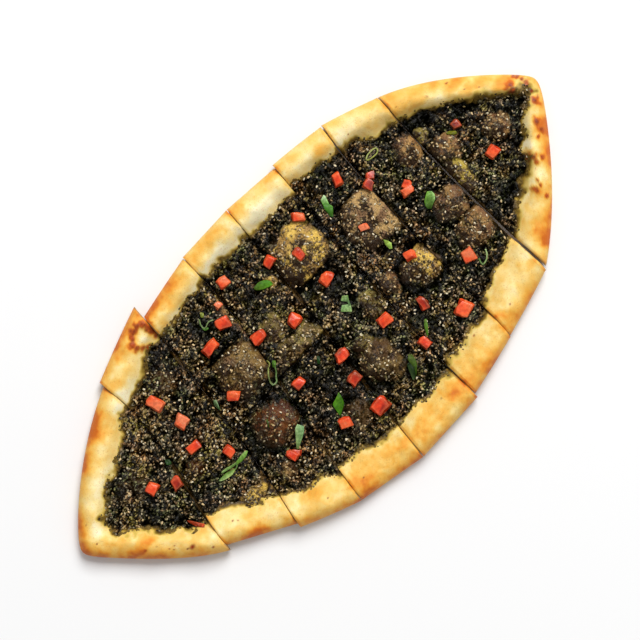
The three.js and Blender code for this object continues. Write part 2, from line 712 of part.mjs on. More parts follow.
function tomatoMesh(piece, number, ground) {
  const [x, y, length, width, turn, share] = piece.place;
  const random = randomStream(900 + 7 * number);
  const height = diceHeight * share;
  let geometry = diceGeometry(length, width, height, random);
  if (piece.partner) {
    const [aside, up, partnerLength, partnerWidth] = piece.partner;
    const partner = diceGeometry(partnerLength, partnerWidth, 0.8 * height, random);
    partner.rotateZ(0.6);
    partner.translate(aside, up, -0.05 * height);
    geometry = fromSolid(toSolid(geometry).add(toSolid(partner)));
  }
  const { middle, normal } = groundTilt(ground, x, y, 0.35 * Math.min(length, width));
  const mesh = new THREE.Mesh(geometry, finish('#d8301c', 0.35));
  mesh.name = `tomato_${String(number).padStart(2, '0')}`;
  mesh.quaternion.setFromUnitVectors(new THREE.Vector3(0, 0, 1), normal);
  mesh.rotateZ(degToRad(turn));
  mesh.position.set(x, y, middle + height);
  mesh.position.z += restingRise(trianglesOf(mesh), ground);
  return mesh;
}

// ---------------------------------------------------------------- greens
// Half the leaf's width at the share t of its length: two arcs that meet at the widest place.
function leafHalfWidth(green, t) {
  const reach = t < green.widest ? 1 - t / green.widest : (t - green.widest) / (1 - green.widest);
  return 0.5 * green.place[3] * Math.max(0.1, 1 - reach ** 2.2);
}

// One blade as a thin wavy solid. Its two faces have the same triangles. The height of the
// lower face comes from level, and lower and raise place the sides of a forked blade.
function bladeGeometry(green, from, to, lower, upper, level, thickness) {
  const [centreX, centreY, length, , turn] = green.place;
  const steps = Math.max(3, Math.round((8 * (to - from))));
  const across = [-1, 0, 1];
  const angle = degToRad(turn);
  const bottom = [];
  for (let k = 0; k <= steps; k += 1) {
    const t = lerp(from, to, k / steps);
    const half = leafHalfWidth(green, t);
    const bend = 0.05 * length * Math.sin(Math.PI * t);
    bottom.push(across.map((side) => {
      const share = lerp(lower, upper, (side + 1) / 2);
      const along = (t - 0.5) * length;
      const aside = share * half + bend;
      const x = centreX + along * Math.cos(angle) - aside * Math.sin(angle);
      const y = centreY + along * Math.sin(angle) + aside * Math.cos(angle);
      const wave = 0.25 * Math.sin(9 * t + side);
      return new THREE.Vector3(x, y, level(x, y) + green.curl * share * share + wave);
    }));
  }
  const top = bottom.map((row) => row.map((point) => (
    new THREE.Vector3(point.x, point.y, point.z + thickness)
  )));
  const faces = new Faces();
  for (let k = 0; k < steps; k += 1) {
    for (let s = 0; s < across.length - 1; s += 1) {
      faces.quad(top[k][s], top[k + 1][s], top[k + 1][s + 1], top[k][s + 1]);
      faces.quad(bottom[k][s], bottom[k][s + 1], bottom[k + 1][s + 1], bottom[k + 1][s]);
    }
    faces.quad(top[k][0], bottom[k][0], bottom[k + 1][0], top[k + 1][0]);
    faces.quad(top[k][2], top[k + 1][2], bottom[k + 1][2], bottom[k][2]);
  }
  for (let s = 0; s < across.length - 1; s += 1) {
    faces.quad(top[0][s], top[0][s + 1], bottom[0][s + 1], bottom[0][s]);
    faces.quad(top[steps][s], bottom[steps][s], bottom[steps][s + 1], top[steps][s + 1]);
  }
  return faces.geometry();
}

// A whole leaf, or a leaf whose first part is split into two blades.
function leafGeometry(green, level, thickness) {
  if (!green.fork) return bladeGeometry(green, 0, 1, -1, 1, level, thickness);
  const overlap = 0.08;
  const stem = bladeGeometry(green, green.fork - overlap, 1, -1, 1, level, thickness);
  const nearBlade = bladeGeometry(green, 0, green.fork, -1, -0.2, level, thickness);
  const farBlade = bladeGeometry(green, 0.06, green.fork, 0.2, 1, level, thickness);
  return fromSolid(toSolid(stem).add(toSolid(nearBlade)).add(toSolid(farBlade)));
}

function greenMesh(green, ground) {
  const [x, y, length] = green.place;
  const box = new THREE.Box3(
    new THREE.Vector3(x - length, y - length, -50),
    new THREE.Vector3(x + length, y + length, 50),
  );
  const below = near(ground, box);
  const level = (px, py) => {
    const heights = heightsAt(below, px, py);
    return heights.length ? Math.max(...heights) : groundTilt(below, px, py, 2).middle;
  };
  const mesh = new THREE.Mesh(leafGeometry(green, level, leafThickness), finish('#3f7d36', 0.5));
  mesh.name = green.name;
  mesh.position.z = restingRise(trianglesOf(mesh), ground);
  return mesh;
}

// A small leaf sunk into the layer by half its thickness, joined to it.
function fuseSmallGreen(layer, green) {
  const ground = trianglesOf(new THREE.Mesh(layer));
  const sunk = 0.55;
  const level = (x, y) => Math.max(...heightsAt(ground, x, y)) - sunk;
  const leaf = leafGeometry(green, level, leafThickness + sunk);
  return fromSolid(toSolid(layer).add(toSolid(leaf)));
}

// ---------------------------------------------------------------- the whole fatayer
const fatayer = new THREE.Group();
const ground = [];

strips.forEach((strip) => {
  strip.grid = stripGrid(strip);
  const bread = new THREE.Mesh(breadGeometry(strip), finish('#e9c27a', 0.6));
  bread.name = `bread_${strip.index + 1}`;
  let layer = zaatarGeometry(strip);
  smallGreens.filter((green) => green.strip === strip.index).forEach((green) => {
    layer = fuseSmallGreen(layer, green);
  });
  const zaatar = new THREE.Mesh(layer, finish('#2e2a17', 0.8));
  zaatar.name = `zaatar_${strip.index + 1}`;
  fatayer.add(bread, zaatar);
  ground.push(...trianglesOf(bread), ...trianglesOf(zaatar));
});

tomatoPieces.forEach((piece, index) => fatayer.add(tomatoMesh(piece, index + 1, ground)));
greens.forEach((green) => fatayer.add(greenMesh(green, ground)));

export default fatayer;
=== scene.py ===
import bmesh
import bpy
import numpy as np
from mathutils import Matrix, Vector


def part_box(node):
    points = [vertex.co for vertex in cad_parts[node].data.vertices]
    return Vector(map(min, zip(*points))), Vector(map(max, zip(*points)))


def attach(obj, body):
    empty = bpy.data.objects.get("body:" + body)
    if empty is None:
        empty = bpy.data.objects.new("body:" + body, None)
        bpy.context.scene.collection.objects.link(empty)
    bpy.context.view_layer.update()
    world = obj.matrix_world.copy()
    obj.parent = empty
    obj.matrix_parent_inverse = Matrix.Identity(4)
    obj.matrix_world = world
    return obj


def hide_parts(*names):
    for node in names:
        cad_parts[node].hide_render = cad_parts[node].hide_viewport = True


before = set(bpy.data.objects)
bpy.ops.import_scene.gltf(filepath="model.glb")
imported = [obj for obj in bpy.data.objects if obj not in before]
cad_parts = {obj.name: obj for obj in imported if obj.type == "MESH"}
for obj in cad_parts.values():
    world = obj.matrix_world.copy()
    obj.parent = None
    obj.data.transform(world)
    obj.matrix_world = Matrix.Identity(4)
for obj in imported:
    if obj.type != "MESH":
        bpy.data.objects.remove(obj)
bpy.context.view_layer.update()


# ---------------------------------------------------------------- bread
# Baked white dough, soft and pale, with a rim rolled up all round. Seven knife cuts run right
# through it, so each strip is a closed slab of its own that stands a hair's breadth from the next.
loaf_length = 500
floor_thickness = 6.5  # bread under the zaatar
rim_height = 17.5  # crest of the rolled rim
rim_wave = 0.9  # how much the crest rises and falls
crest_inset = 11  # crest to outline
edge_height = 6  # height of the widest line of the rim
under_radius = 4  # rounding of the lower edge
foot_run = 4  # the rim's inner foot lies this far past the border of the zaatar
nose_rounding = 0.1  # how blunt the two tips are
mark_width = 1.9  # half width of a short knife mark
mark_depth = 2.0
mark_fade = 4  # a mark runs out over this length
groove_depth = {"floor": 2.1, "rim": 0.9}  # the soft shoulder along a cut
groove_reach = {"floor": 4.8, "rim": 2.2}
lips_apart = 0.12  # the upper edges of a cut lean this close to its middle,
most_lean = 0.6  # but never lean by more than this
border_wander = 1.4  # how far the border of the zaatar swings
crest_limit = 20  # the crust is pressed flatter above this height
past_cut = 60  # an outline is carried on this far past a cut
outline_steps = 60
same_place = 2e-5  # points closer than this many metres are one

# A knife cut runs from y = bottom to y = top through four evenly spaced x places, and stands
# open by gap at those two ends.
cuts = [
    dict(bottom=-62, top=94, x=(-170, -160.5, -149, -147), gap=(1, 0.9)),
    dict(bottom=-87, top=119, x=(-120.5, -106.6, -95.3, -87), gap=(1, 1.8)),
    dict(bottom=-108, top=118, x=(-73.4, -59.3, -43, -35), gap=(1, 1.4)),
    dict(bottom=-119, top=119.5, x=(-17, -6.5, 5.4, 14.6), gap=(1.2, 1)),
    dict(bottom=-118, top=118, x=(44.6, 47.7, 54.8, 63.3), gap=(1.6, 1)),
    dict(bottom=-104, top=112, x=(95, 98.6, 102, 110.5), gap=(1, 2.2)),
    dict(bottom=-87, top=96, x=(151.4, 151, 152.3, 156.2), gap=(3.4, 1.6)),
]

# The strips from the left tip to the right one. top and bottom are the outline: y at the left
# end, y at the right end and the bulge between them. The insets are the width of bare crust at
# both ends. A mark is a short knife mark (y, from x, to x).
strips = [
    dict(nose="left", top=(17.5, 94, 8.7), bottom=(17.5, -62.6, -8.5),
         top_inset=(22, 25), bottom_inset=(21, 23), marks=[]),
    dict(nose=None, top=(98.3, 119.2, 0), bottom=(-58.1, -85.5, -0.5),
         top_inset=(29, 26), bottom_inset=(28, 25), marks=[]),
    dict(nose=None, top=(108.6, 117.6, 0.4), bottom=(-89.3, -108.6, -0.4),
         top_inset=(20, 23), bottom_inset=(29, 27), marks=[(46.4, -80, -43), (-0.3, -101, -60)]),
    dict(nose=None, top=(118.6, 119.5, 0), bottom=(-108.6, -119.5, 0),
         top_inset=(22, 26), bottom_inset=(32, 29), marks=[(0.7, -50, 2)]),
    dict(nose=None, top=(119.5, 115.3, 0), bottom=(-119.5, -117.8, 0),
         top_inset=(27, 25), bottom_inset=(30, 30), marks=[(36, 4, 44)]),
    dict(nose=None, top=(117.8, 111.6, 0.4), bottom=(-114.6, -104.2, -0.4),
         top_inset=(22, 23), bottom_inset=(30, 28), marks=[(58.5, 70, 104)]),
    dict(nose=None, top=(111.8, 96, 0.6), bottom=(-103.3, -88.4, -0.4),
         top_inset=(23, 24), bottom_inset=(32, 34), marks=[(16, 132, 152), (-14, 121, 152)]),
    dict(nose="right", top=(95.4, 18.2, 9.5), bottom=(-86.1, 18.2, -9.5),
         top_inset=(23, 14), bottom_inset=(28, 13.5), marks=[]),
]

# The bubbles that rose in the dough: (strip, x, y, radius along x, radius along y, height, the
# mark that cuts it off below or above, share of bare dough that shows, its colour).
tan = (0.33, 0.185, 0.070)
olive = (0.60, 0.40, 0.095)
umber = (0.17, 0.105, 0.038)
plum = (0.12, 0.038, 0.010)
moss = (0.26, 0.20, 0.050)
sand = (0.44, 0.28, 0.120)
khaki = (0.40, 0.30, 0.058)
khaki_brown = (0.25, 0.155, 0.052)
free = None
bubbles = [
    (0, -188, 24, 16, 14, 1.5, free, 0.1, tan),
    (1, -146, -2, 9, 9, 3.5, free, 0.3, plum),
    (1, -114, -42, 10, 9, 2.5, free, 0.3, tan),
    (1, -118, 62, 14, 12, 1.5, free, 0.2, tan),
    (1, -129, -46, 14, 8, 0.8, free, 1.0, olive),
    (1, -110, -54, 9, 8, 0.8, free, 0.8, olive),
    (2, -44, 60, 4, 20, 0.5, free, 0.8, tan),
    (2, -66, 25, 22, 21.4, 7.5, ("below", 46.4), 0.7, khaki_brown),
    (2, -78, -20, 21, 18, 9, free, 0.85, plum),
    (2, -97, -53, 10, 9, 2.5, free, 0.3, tan),
    (3, -27, 32, 13, 11, 3.5, free, 0.75, moss),
    (3, -22, 8, 22, 12, 4, ("above", 0.7), 0.6, moss),
    (3, -4, 56, 8, 7, 0.5, free, 0.7, olive),
    (3, -32, -62, 16, 14, 2, free, 0.2, tan),
    (4, 28, 58, 24, 23, 8.5, ("above", 36), 0.9, olive),
    (4, 13, -46, 19, 19, 10, free, 0.75, umber),
    (4, 14, -27, 9, 8, 4, free, 0.7, moss),
    (4, 39, -10, 11, 11, 4, free, 0.6, moss),
    (5, 84, 36, 20, 25, 6.5, ("below", 58.5), 0.85, sand),
    (5, 87, -18, 19, 16, 9, free, 0.9, olive),
    (5, 61, -9.5, 9, 11, 4, free, 0.8, tan),
    (6, 137, -28, 17, 16, 6.5, ("below", -14), 0.85, tan),
    (6, 137, 1, 16, 16, 5, free, 0.75, tan),
    (6, 143, 50, 12, 15, 4, free, 0.85, tan),
    (6, 87, -18, 19, 16, 7, free, 0.75, umber),
    (7, 166, 30, 13, 12, 5, free, 0.85, tan),
    (7, 203, 15, 13, 11, 6, free, 0.85, tan),
    (7, 160, 9, 8, 18, 1.5, free, 0.9, khaki),
    (7, 157, 51, 8, 8, 0.8, free, 0.8, moss),
    (7, 209, -16, 10, 8, 3, free, 0.3, plum),
]

for index, strip in enumerate(strips):
    strip["index"] = index
    strip["left"] = cuts[index - 1] if index > 0 else None
    strip["right"] = cuts[index] if index < len(cuts) else None


def clamp(value, low=0.0, high=1.0):
    """The value, held between low and high."""
    return np.minimum(np.maximum(value, low), high)


def smooth(value):
    """0 below 0, 1 above 1, and 3 v^2 - 2 v^3 between them."""
    value = clamp(value)
    return value * value * (3 - 2 * value)


def blend(a, b, share):
    """a at share 0, b at share 1, and in proportion between them."""
    return a + (b - a) * share


def cut_x(cut, y):
    """The cubic through the four evenly spaced x places of a cut, at y."""
    s = 3 * (y - cut["bottom"]) / (cut["top"] - cut["bottom"])
    a, b, c, d = cut["x"]
    lower = -a * (s - 1) * (s - 2) * (s - 3) / 6 + b * s * (s - 2) * (s - 3) / 2
    return lower - c * s * (s - 1) * (s - 3) / 2 + d * s * (s - 1) * (s - 2) / 6


def half_gap(cut, y):
    """Half the width of a cut at y."""
    along = clamp((y - cut["bottom"]) / (cut["top"] - cut["bottom"]))
    return blend(cut["gap"][0], cut["gap"][1], along) / 2


def sides_at(strip, y):
    """x of the strip's left and right side at y. A tip's side is the end of the loaf."""
    left, right = strip["left"], strip["right"]
    low = cut_x(left, y) + half_gap(left, y) if left else np.full_like(y, -loaf_length / 2)
    high = cut_x(right, y) - half_gap(right, y) if right else np.full_like(y, loaf_length / 2)
    return low, high


def edge_y(strip, side, u):
    """The outline's y at the share u across the strip: a straight run with a parabola's bulge,
    and a square-root start at a tip, which rounds it."""
    left, right, bulge = strip[side]
    share = u
    if strip["nose"] == "left":
        share = np.sqrt(u * u + nose_rounding * u * (1 - u))
    if strip["nose"] == "right":
        share = 1 - np.sqrt((1 - u) ** 2 + nose_rounding * u * (1 - u))
    return blend(left, right, share) + 4 * bulge * share * (1 - share)


def outline_of(strip, side):
    """The outline as a chain of points, carried on straight past the cuts."""
    t = np.linspace(0, 1, outline_steps + 1)
    u = {"left": t ** 1.8, "right": 1 - (1 - t) ** 1.8, None: t}[strip["nose"]]
    y = edge_y(strip, side, u)
    left, right = sides_at(strip, y)
    chain = np.stack([blend(left, right, u), y], axis=1)
    before = chain[0] + past_cut * (chain[0] - chain[1]) / np.linalg.norm(chain[0] - chain[1])
    after = chain[-1] + past_cut * (chain[-1] - chain[-2]) / np.linalg.norm(chain[-1] - chain[-2])
    ends = ([before] if strip["left"] else [], [after] if strip["right"] else [])
    return np.array([*ends[0], *chain, *ends[1]])


def distance_to(chain, x, y):
    """Shortest distance from each point to a chain of straight pieces."""
    nearest = np.full(x.shape, np.inf)
    for (ax, ay), (bx, by) in zip(chain[:-1], chain[1:]):
        dx, dy = bx - ax, by - ay
        along = clamp(((x - ax) * dx + (y - ay) * dy) / (dx * dx + dy * dy))
        nearest = np.minimum(nearest, np.hypot(x - ax - along * dx, y - ay - along * dy))
    return nearest


for strip in strips:
    strip["chains"] = {side: outline_of(strip, side) for side in ("top", "bottom")}


def blotches(x, y, size, seed):
    """Smooth random blotches from -1 to 1: random values on a turned square lattice of that
    size, blended by a smooth step."""
    table = np.random.default_rng(seed).uniform(-1, 1, (256, 256))
    turn = 0.7 + seed
    gx = (x * np.cos(turn) - y * np.sin(turn)) / size
    gy = (x * np.sin(turn) + y * np.cos(turn)) / size
    ix, iy = np.floor(gx).astype(int), np.floor(gy).astype(int)
    fx, fy = smooth(gx - ix), smooth(gy - iy)
    near = blend(table[ix % 256, iy % 256], table[(ix + 1) % 256, iy % 256], fx)
    far = blend(table[ix % 256, (iy + 1) % 256], table[(ix + 1) % 256, (iy + 1) % 256], fx)
    return blend(near, far, fy)


def layers(x, y, *given):
    """Blotches added up, each given as (strength, size, seed)."""
    return sum(strength * blotches(x, y, size, seed) for strength, size, seed in given)


def share_across(strip, x, y):
    """0 at the left side of a strip and 1 at its right side."""
    left, right = sides_at(strip, y)
    return (x - left) / (right - left)


def distance_to_cut(strip, x, y):
    """How far a point lies from the nearer cut beside its strip, along x."""
    left, right = sides_at(strip, y)
    return np.minimum(x - left if strip["left"] else 99.0, right - x if strip["right"] else 99.0)


def crust_width(strip, side, u):
    """Width of bare crust square to the outline, with the border's slow wander."""
    left, right = strip[side + "_inset"]
    swing = np.sin(11 * u + 2.3 * strip["index"] + 1.9 * (side == "bottom"))
    return blend(left, right, u) + border_wander * swing


def rounding(distance, inset):
    """A quarter ellipse from 0 at the outline to 1 at the inset."""
    return np.sqrt(1 - (1 - clamp(distance / inset)) ** 2)


def bubble_height(bubble, x, y):
    """height (1 - r^p) inside the bubble's bent oval, kept to one side of its mark. p is 2 for
    a free bubble, and 3, which is squarer, for one that a mark cuts off."""
    _, centre_x, centre_y, radius_x, radius_y, height, stop, _, _ = bubble
    across = (x + layers(x, y, (2.6, 13, 36), (1.1, 6, 47)) - centre_x) / radius_x
    along = (y + layers(x, y, (2.6, 13, 37), (1.1, 6, 48)) - centre_y) / radius_y
    squareness = 3 if stop else 2
    reach = abs(across) ** squareness + abs(along) ** squareness
    kept = 1.0
    if stop:
        kept = clamp((stop[1] - y if stop[0] == "below" else y - stop[1]) / mark_width)
    return height * kept * clamp(1 - reach)


def rim_share(strip, side, x, y, u):
    """1 from the outline to the crest, then a late cosine fall to the rim's inner foot."""
    away = distance_to(strip["chains"][side], x, y)
    fall = clamp((away - crest_inset) / (crust_width(strip, side, u) + foot_run - crest_inset))
    return away, 0.5 + 0.5 * np.cos(np.pi * fall ** 1.3)


def bread_top(strip, x, y):
    """Height of the bread: the floor, the rim on both sides, bubbles and knife marks, low
    lumps of the dough, blisters, and a soft shoulder along each cut."""
    u = clamp(share_across(strip, x, y))
    to_top, upper_rim = rim_share(strip, "top", x, y, u)
    to_bottom, lower_rim = rim_share(strip, "bottom", x, y, u)
    rim = 1 - (1 - upper_rim) * (1 - lower_rim)
    crest = rim_height + rim_wave * np.sin(x / 17 + y / 40 + 1.3 * strip["index"])
    height = blend(floor_thickness, crest, rim)
    for bubble in bubbles:
        if bubble[0] == strip["index"]:
            height = height + bubble_height(bubble, x, y)
    for mark_y, start, stop in strip["marks"]:
        across = clamp(1 - abs(y - mark_y) / mark_width)
        along = smooth((x - start + mark_fade) / mark_fade) * smooth((stop + mark_fade - x) / mark_fade)
        height = height - mark_depth * across * along
    lumps = layers(x, y, (0.9, 19, 3), (0.75, 8, 4), (0.2, 3.5, 5))
    height = height + lumps * rim + 0.35 * blotches(x, y, 13, 6) * (1 - rim)
    height = height + blister_rise * spots(blister_places + pale_blisters, x, y, 0.2, 1.3)
    height = height - 0.6 * np.maximum(height - crest_limit, 0)
    in_floor = groove_depth["floor"] * clamp(0.7 + 0.8 * blotches(x, y, 14, 53), 0.2, 1.2)
    depth = blend(in_floor, groove_depth["rim"], rim)
    reach = blend(groove_reach["floor"], groove_reach["rim"], rim) * (0.85 + 0.6 * blotches(x, y, 9, 7))
    height = height - depth * (1 - clamp(distance_to_cut(strip, x, y) / reach)) ** 2
    return blend(edge_height, height, rounding(np.minimum(to_top, to_bottom), crest_inset))


def bread_under(strip, x, y):
    """Height of the underside: flat, and rounded up to the widest line of the rim."""
    away = np.minimum(*[distance_to(strip["chains"][side], x, y) for side in ("top", "bottom")])
    return edge_height * (1 - rounding(away, under_radius))


def strip_grid(strip, columns, rows):
    """x and y at all grid points of a strip. Points stand closer at its sides and its outline,
    and towards a tip."""
    t = np.linspace(0, 1, columns + 1)
    eased = blend(t, 0.5 - 0.5 * np.cos(np.pi * t), 0.35)
    u = {"left": eased ** 1.4, "right": 1 - (1 - eased) ** 1.4, None: eased}[strip["nose"]]
    v = np.linspace(0, 1, rows + 1)
    v = blend(v, 0.5 - 0.5 * np.cos(np.pi * v), 0.45)
    low, high = edge_y(strip, "bottom", u), edge_y(strip, "top", u)
    y = blend(low[:, None], high[:, None], v[None, :])
    left, right = sides_at(strip, y)
    return blend(left, right, u[:, None]), y


def slab(name, upper, under, step, joined):
    """A closed slab from two grids of points [column, row, xyz]. The lower grid has one row for
    each step rows of the upper one. joined says that both share their first and last row."""
    columns, rows = upper.shape[0] - 1, upper.shape[1] - 1
    top = np.arange((columns + 1) * (rows + 1)).reshape(columns + 1, rows + 1)
    lower_rows = rows // step
    low = top.size + np.arange((columns + 1) * (lower_rows + 1)).reshape(columns + 1, lower_rows + 1)
    if joined:
        low[:, 0], low[:, -1] = top[:, 0], top[:, -1]

    def quads(grid):
        corners = (grid[:-1, :-1], grid[1:, :-1], grid[1:, 1:], grid[:-1, 1:])
        return np.stack(corners, axis=-1).reshape(-1, 4)

    parts = [quads(top), quads(low)[:, ::-1]]
    if not joined:
        parts.append(quads(np.stack([low[:, 0], top[:, 0]], axis=1)))
        parts.append(quads(np.stack([top[:, -1], low[:, -1]], axis=1)))
    # Each face of an end has step + 1 corners above and two below, and the far end's are turned.
    for end, way in ((0, 1), (-1, -1)):
        above = [top[end, k:rows + 1 - step + k:step] for k in range(step + 1)]
        cap = np.stack([*above, low[end, 1:], low[end, :-1]], axis=-1)
        parts.append(cap[:, ::way])
    points = np.concatenate([upper.reshape(-1, 3), under.reshape(-1, 3)]) / 1000
    return mesh_from(name, points, parts)


def mesh_from(name, points, parts):
    """A mesh from points in metres and arrays of polygons, one array for each corner count."""
    mesh = bpy.data.meshes.new(name)
    counts = np.concatenate([np.full(len(part), part.shape[1]) for part in parts])
    corners = np.concatenate([part.reshape(-1) for part in parts])
    mesh.vertices.add(len(points))
    mesh.vertices.foreach_set("co", points.astype(np.float32).ravel())
    mesh.loops.add(len(corners))
    mesh.loops.foreach_set("vertex_index", corners.astype(np.int32))
    mesh.polygons.add(len(counts))
    mesh.polygons.foreach_set("loop_start", np.concatenate([[0], np.cumsum(counts)[:-1]]).astype(np.int32))
    mesh.update(calc_edges=True)
    mesh.validate()
    return mesh


def places_of(mesh):
    """All vertices of a mesh as x, y and z in millimetres."""
    flat = np.empty(3 * len(mesh.vertices), dtype=np.float32)
    mesh.vertices.foreach_get("co", flat)
    return flat.reshape(-1, 3).astype(float).T * 1000


def weld(mesh):
    """Merges the points that fall together at a tip and drops what stays loose."""
    work = bmesh.new()
    work.from_mesh(mesh)
    bmesh.ops.remove_doubles(work, verts=work.verts, dist=same_place)
    loose = [vert for vert in work.verts if not vert.link_faces]
    bmesh.ops.delete(work, geom=loose, context="VERTS")
    bmesh.ops.recalc_face_normals(work, faces=work.faces)
    work.to_mesh(mesh)
    work.free()


def keep(mesh, name, values):
    """Stores one number a vertex on the mesh, for its material to read."""
    layer = mesh.attributes.new(name, "FLOAT", "POINT")
    layer.data.foreach_set("value", np.asarray(values, dtype=np.float32))


def keep_colour(mesh, name, colours):
    """Stores a colour and a strength a vertex on the mesh, as rows of red, green, blue, alpha."""
    layer = mesh.color_attributes.new(name, "FLOAT_COLOR", "POINT")
    layer.data.foreach_set("color", np.asarray(colours, dtype=np.float32).ravel())


def put(mesh, material, nodes):
    """Makes the mesh a piece of the loaf, which stands for the CAD nodes of the given names."""
    mesh.materials.append(material)
    mesh.shade_smooth()
    piece = bpy.data.objects.new(mesh.name, mesh)
    bpy.context.scene.collection.objects.link(piece)
    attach(piece, "root")
    if nodes:
        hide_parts(*nodes)


# Places on the crust, (x, y, radius x, radius y): where it browned in the oven, where the skin blistered
# dark, where it is paler, and small burnt specks. The two pale places at the left tip are painted
# highlights, and the large white blister near the right is partly one. Two pale places stand up: the middle
# of the ring of blisters near the left tip, and the large white blister near the right.
toasted_places = [
    (196, -62, 16, 8), (228.5, -10, 7, 12), (210.8, -30.1, 7, 14), (166.9, -67, 8, 12), (218, 46, 13, 7),
    (231, 34, 10, 7), (236, 6, 7, 9), (-20, -101, 7, 6), (100, -88, 8, 6), (145, -76, 8, 5),
    (-118, 99, 14, 5), (-140, 88, 14, 6), (228.4, 35.3, 14, 7), (205.5, 50.4, 10, 6), (176.8, 70.4, 12, 5),
    (-170, 74, 17, 12), (-199, 60, 13, 12), (225, -8, 9, 7), (190, -44, 12, 8), (175, -58, 12, 7),
    (187, 74, 16, 9), (-54, 103, 22, 11), (-80, 108, 14, 8), (-9, 112, 18, 8), (20, 113, 12, 8),
    (-42, -97, 8, 7), (1, -103, 24, 9), (-55, -94, 20, 9), (-213, -12, 16, 6), (205, 60, 14, 6),
    (-30, 108, 12, 8), (-48, -98, 26, 9), (100, 98, 14, 6), (38, -102, 14, 8), (100, -92, 12, 7),
    (-115, 112, 12, 8), (60, 113, 10, 5), (-150, -66, 14, 6), (214, -28, 9, 14), (170, -72, 10, 6),
]
blister_places = [
    (-96.2, 106.6, 3.2, 2.6), (-93, 104.4, 3, 2.4), (-91.5, 100, 3, 2.6), (-91.9, 96, 2.6, 2.8),
    (-91.7, 91.9, 2.2, 2.2), (-100.8, 105.9, 3, 2.6), (-105.3, 103.4, 2.6, 3), (-108.8, 99.3, 3, 2.8),
    (-108.3, 95, 3, 2.6), (-105.2, 92.2, 3, 2.6), (-102, 90, 2.6, 2.4), (230.4, 25.6, 4, 3.2),
    (232.3, 29, 2.2, 2.6), (242.3, 30.2, 2.4, 2), (241.9, 21.3, 3, 3), (236.7, 7.9, 2.6, 3),
    (239.7, 32.4, 1.6, 1.4), (241.7, 25.9, 2, 1.6), (239.8, 14.6, 2, 2), (226.5, -4.6, 2, 3),
    (224.2, -11, 1.8, 2.4), (218.5, -13.3, 1.8, 1.2), (201.9, -17.5, 4.2, 3.6), (197.6, -16.4, 3.4, 3.4),
    (204.5, -21.4, 2.6, 2.4), (203.9, -26.2, 2, 2.4), (209.3, -26.3, 1.6, 2), (188.2, -39.6, 3, 3.6),
    (192.8, -40, 1.4, 1.6), (190.7, -49.4, 1.6, 1.4), (194, -35.7, 1.2, 1.2),
]
pale_blisters = [(-100.2, 96.4, 3.5, 3), (208.2, -12.6, 5.5, 4.5)]
# Pale places: partly crust that stayed pale, partly painted highlights.
pale_and_lit_places = pale_blisters + [
    (-227, 24, 6, 4), (-230, 21, 9, 7), (-70, 92, 9, 5), (-20, 98, 12, 5), (30, 100, 14, 6),
]
blister_rise = 0.6
speck_places = [
    (-188, -39.6, 3.2, 2.2), (-191.5, -38, 1.3, 1), (-236.6, 14.3, 1.1, 0.9), (-215, -15.8, 1.6, 1.3),
    (-177, -51, 1.3, 1), (-152.6, -47.9, 1.2, 0.9), (-149.5, -50.6, 0.9, 0.7), (-201, -28, 0.8, 0.8),
    (-199, -31, 0.7, 0.7), (-197, -29, 0.8, 0.6), (200, 65, 1.3, 0.9), (181.6, 68.7, 0.8, 1.8),
    (240, 36, 1, 0.8), (199, -28.8, 0.8, 0.7), (194.5, -37, 0.7, 0.7), (-90, -88, 0.8, 0.7),
    (38, -88, 0.7, 0.7), (24, -98, 0.9, 0.8), (76, -83, 1.1, 0.8), (112, -86, 1, 0.8), (150, -66, 1, 0.8),
    (-232, 30, 0.8, 0.7), (-206, -20, 0.7, 0.6), (120, 92, 0.8, 0.7), (160, 80, 0.7, 0.7),
    (-60, -97, 0.9, 0.7), (-100, -72, 0.8, 0.8), (215, 45, 0.8, 0.6), (206, 52, 0.7, 0.6),
]


def spots(places, x, y, raggedness, grown=1.0):
    """The strongest of all spots at each point: 1 in the middle, falling to 0 at its edge,
    which is pushed in and out by fine blotches. All radii are grown by a factor."""
    wobble = 1 + raggedness * blotches(x, y, 2.4, 8)
    strongest = np.zeros_like(x)
    for centre_x, centre_y, radius_x, radius_y in places:
        reach = np.hypot((x - centre_x) / radius_x, (y - centre_y) / radius_y) * wobble / grown
        strongest = np.maximum(strongest, smooth(1.25 - reach))
    return strongest


# Towards a tip the zaatar ends this far from the loaf's middle, and its border lies at most at
# this share of the loaf's width from the outline.
tip_reach = {"left": 222, "right": 240.5}
nose_limit = {"left": 0.37, "right": 0.41, None: 0.45}


def inside_zaatar(strip, x, y):
    """How far a point lies inside the border of the zaatar, negative on bare crust. Near a tip
    the border is held to a share of the loaf's width."""
    u = clamp(share_across(strip, x, y))
    inside = np.minimum(*[
        distance_to(strip["chains"][side], x, y) - crust_width(strip, side, u)
        for side in ("top", "bottom")
    ])
    nose = strip["nose"]
    if nose:
        low, high = edge_y(strip, "bottom", u), edge_y(strip, "top", u)
        from_edge = np.minimum(y - low, high - y) - nose_limit[nose] * (high - low)
        inside = np.maximum(inside, 0.8 * from_edge)
        inside = np.minimum(inside, tip_reach[nose] - abs(x))
    return inside


def ragged_inside(strip, x, y):
    """The same distance with the border's bays and tongues, which are a few millimetres deep,
    and pushed back round the large white blister."""
    bay = 7 * spots(pale_blisters[1:], x, y, 0.2, 1.2)
    return inside_zaatar(strip, x, y) + layers(x, y, (2.0, 9, 11), (1.2, 3.6, 12)) - bay


def shader(material, kind, place, **inputs):
    """Adds a shader node to a material or group and sets or links its inputs, each by its name
    or by its number after an underscore."""
    node = material.nodes.new(kind)
    node.location = place
    for name, value in inputs.items():
        socket = node.inputs[int(name[1:])] if name[0] == "_" else node.inputs[name.replace("_", " ")]
        if isinstance(value, bpy.types.NodeSocket):
            material.links.new(value, socket)
        else:
            socket.default_value = value
    return node


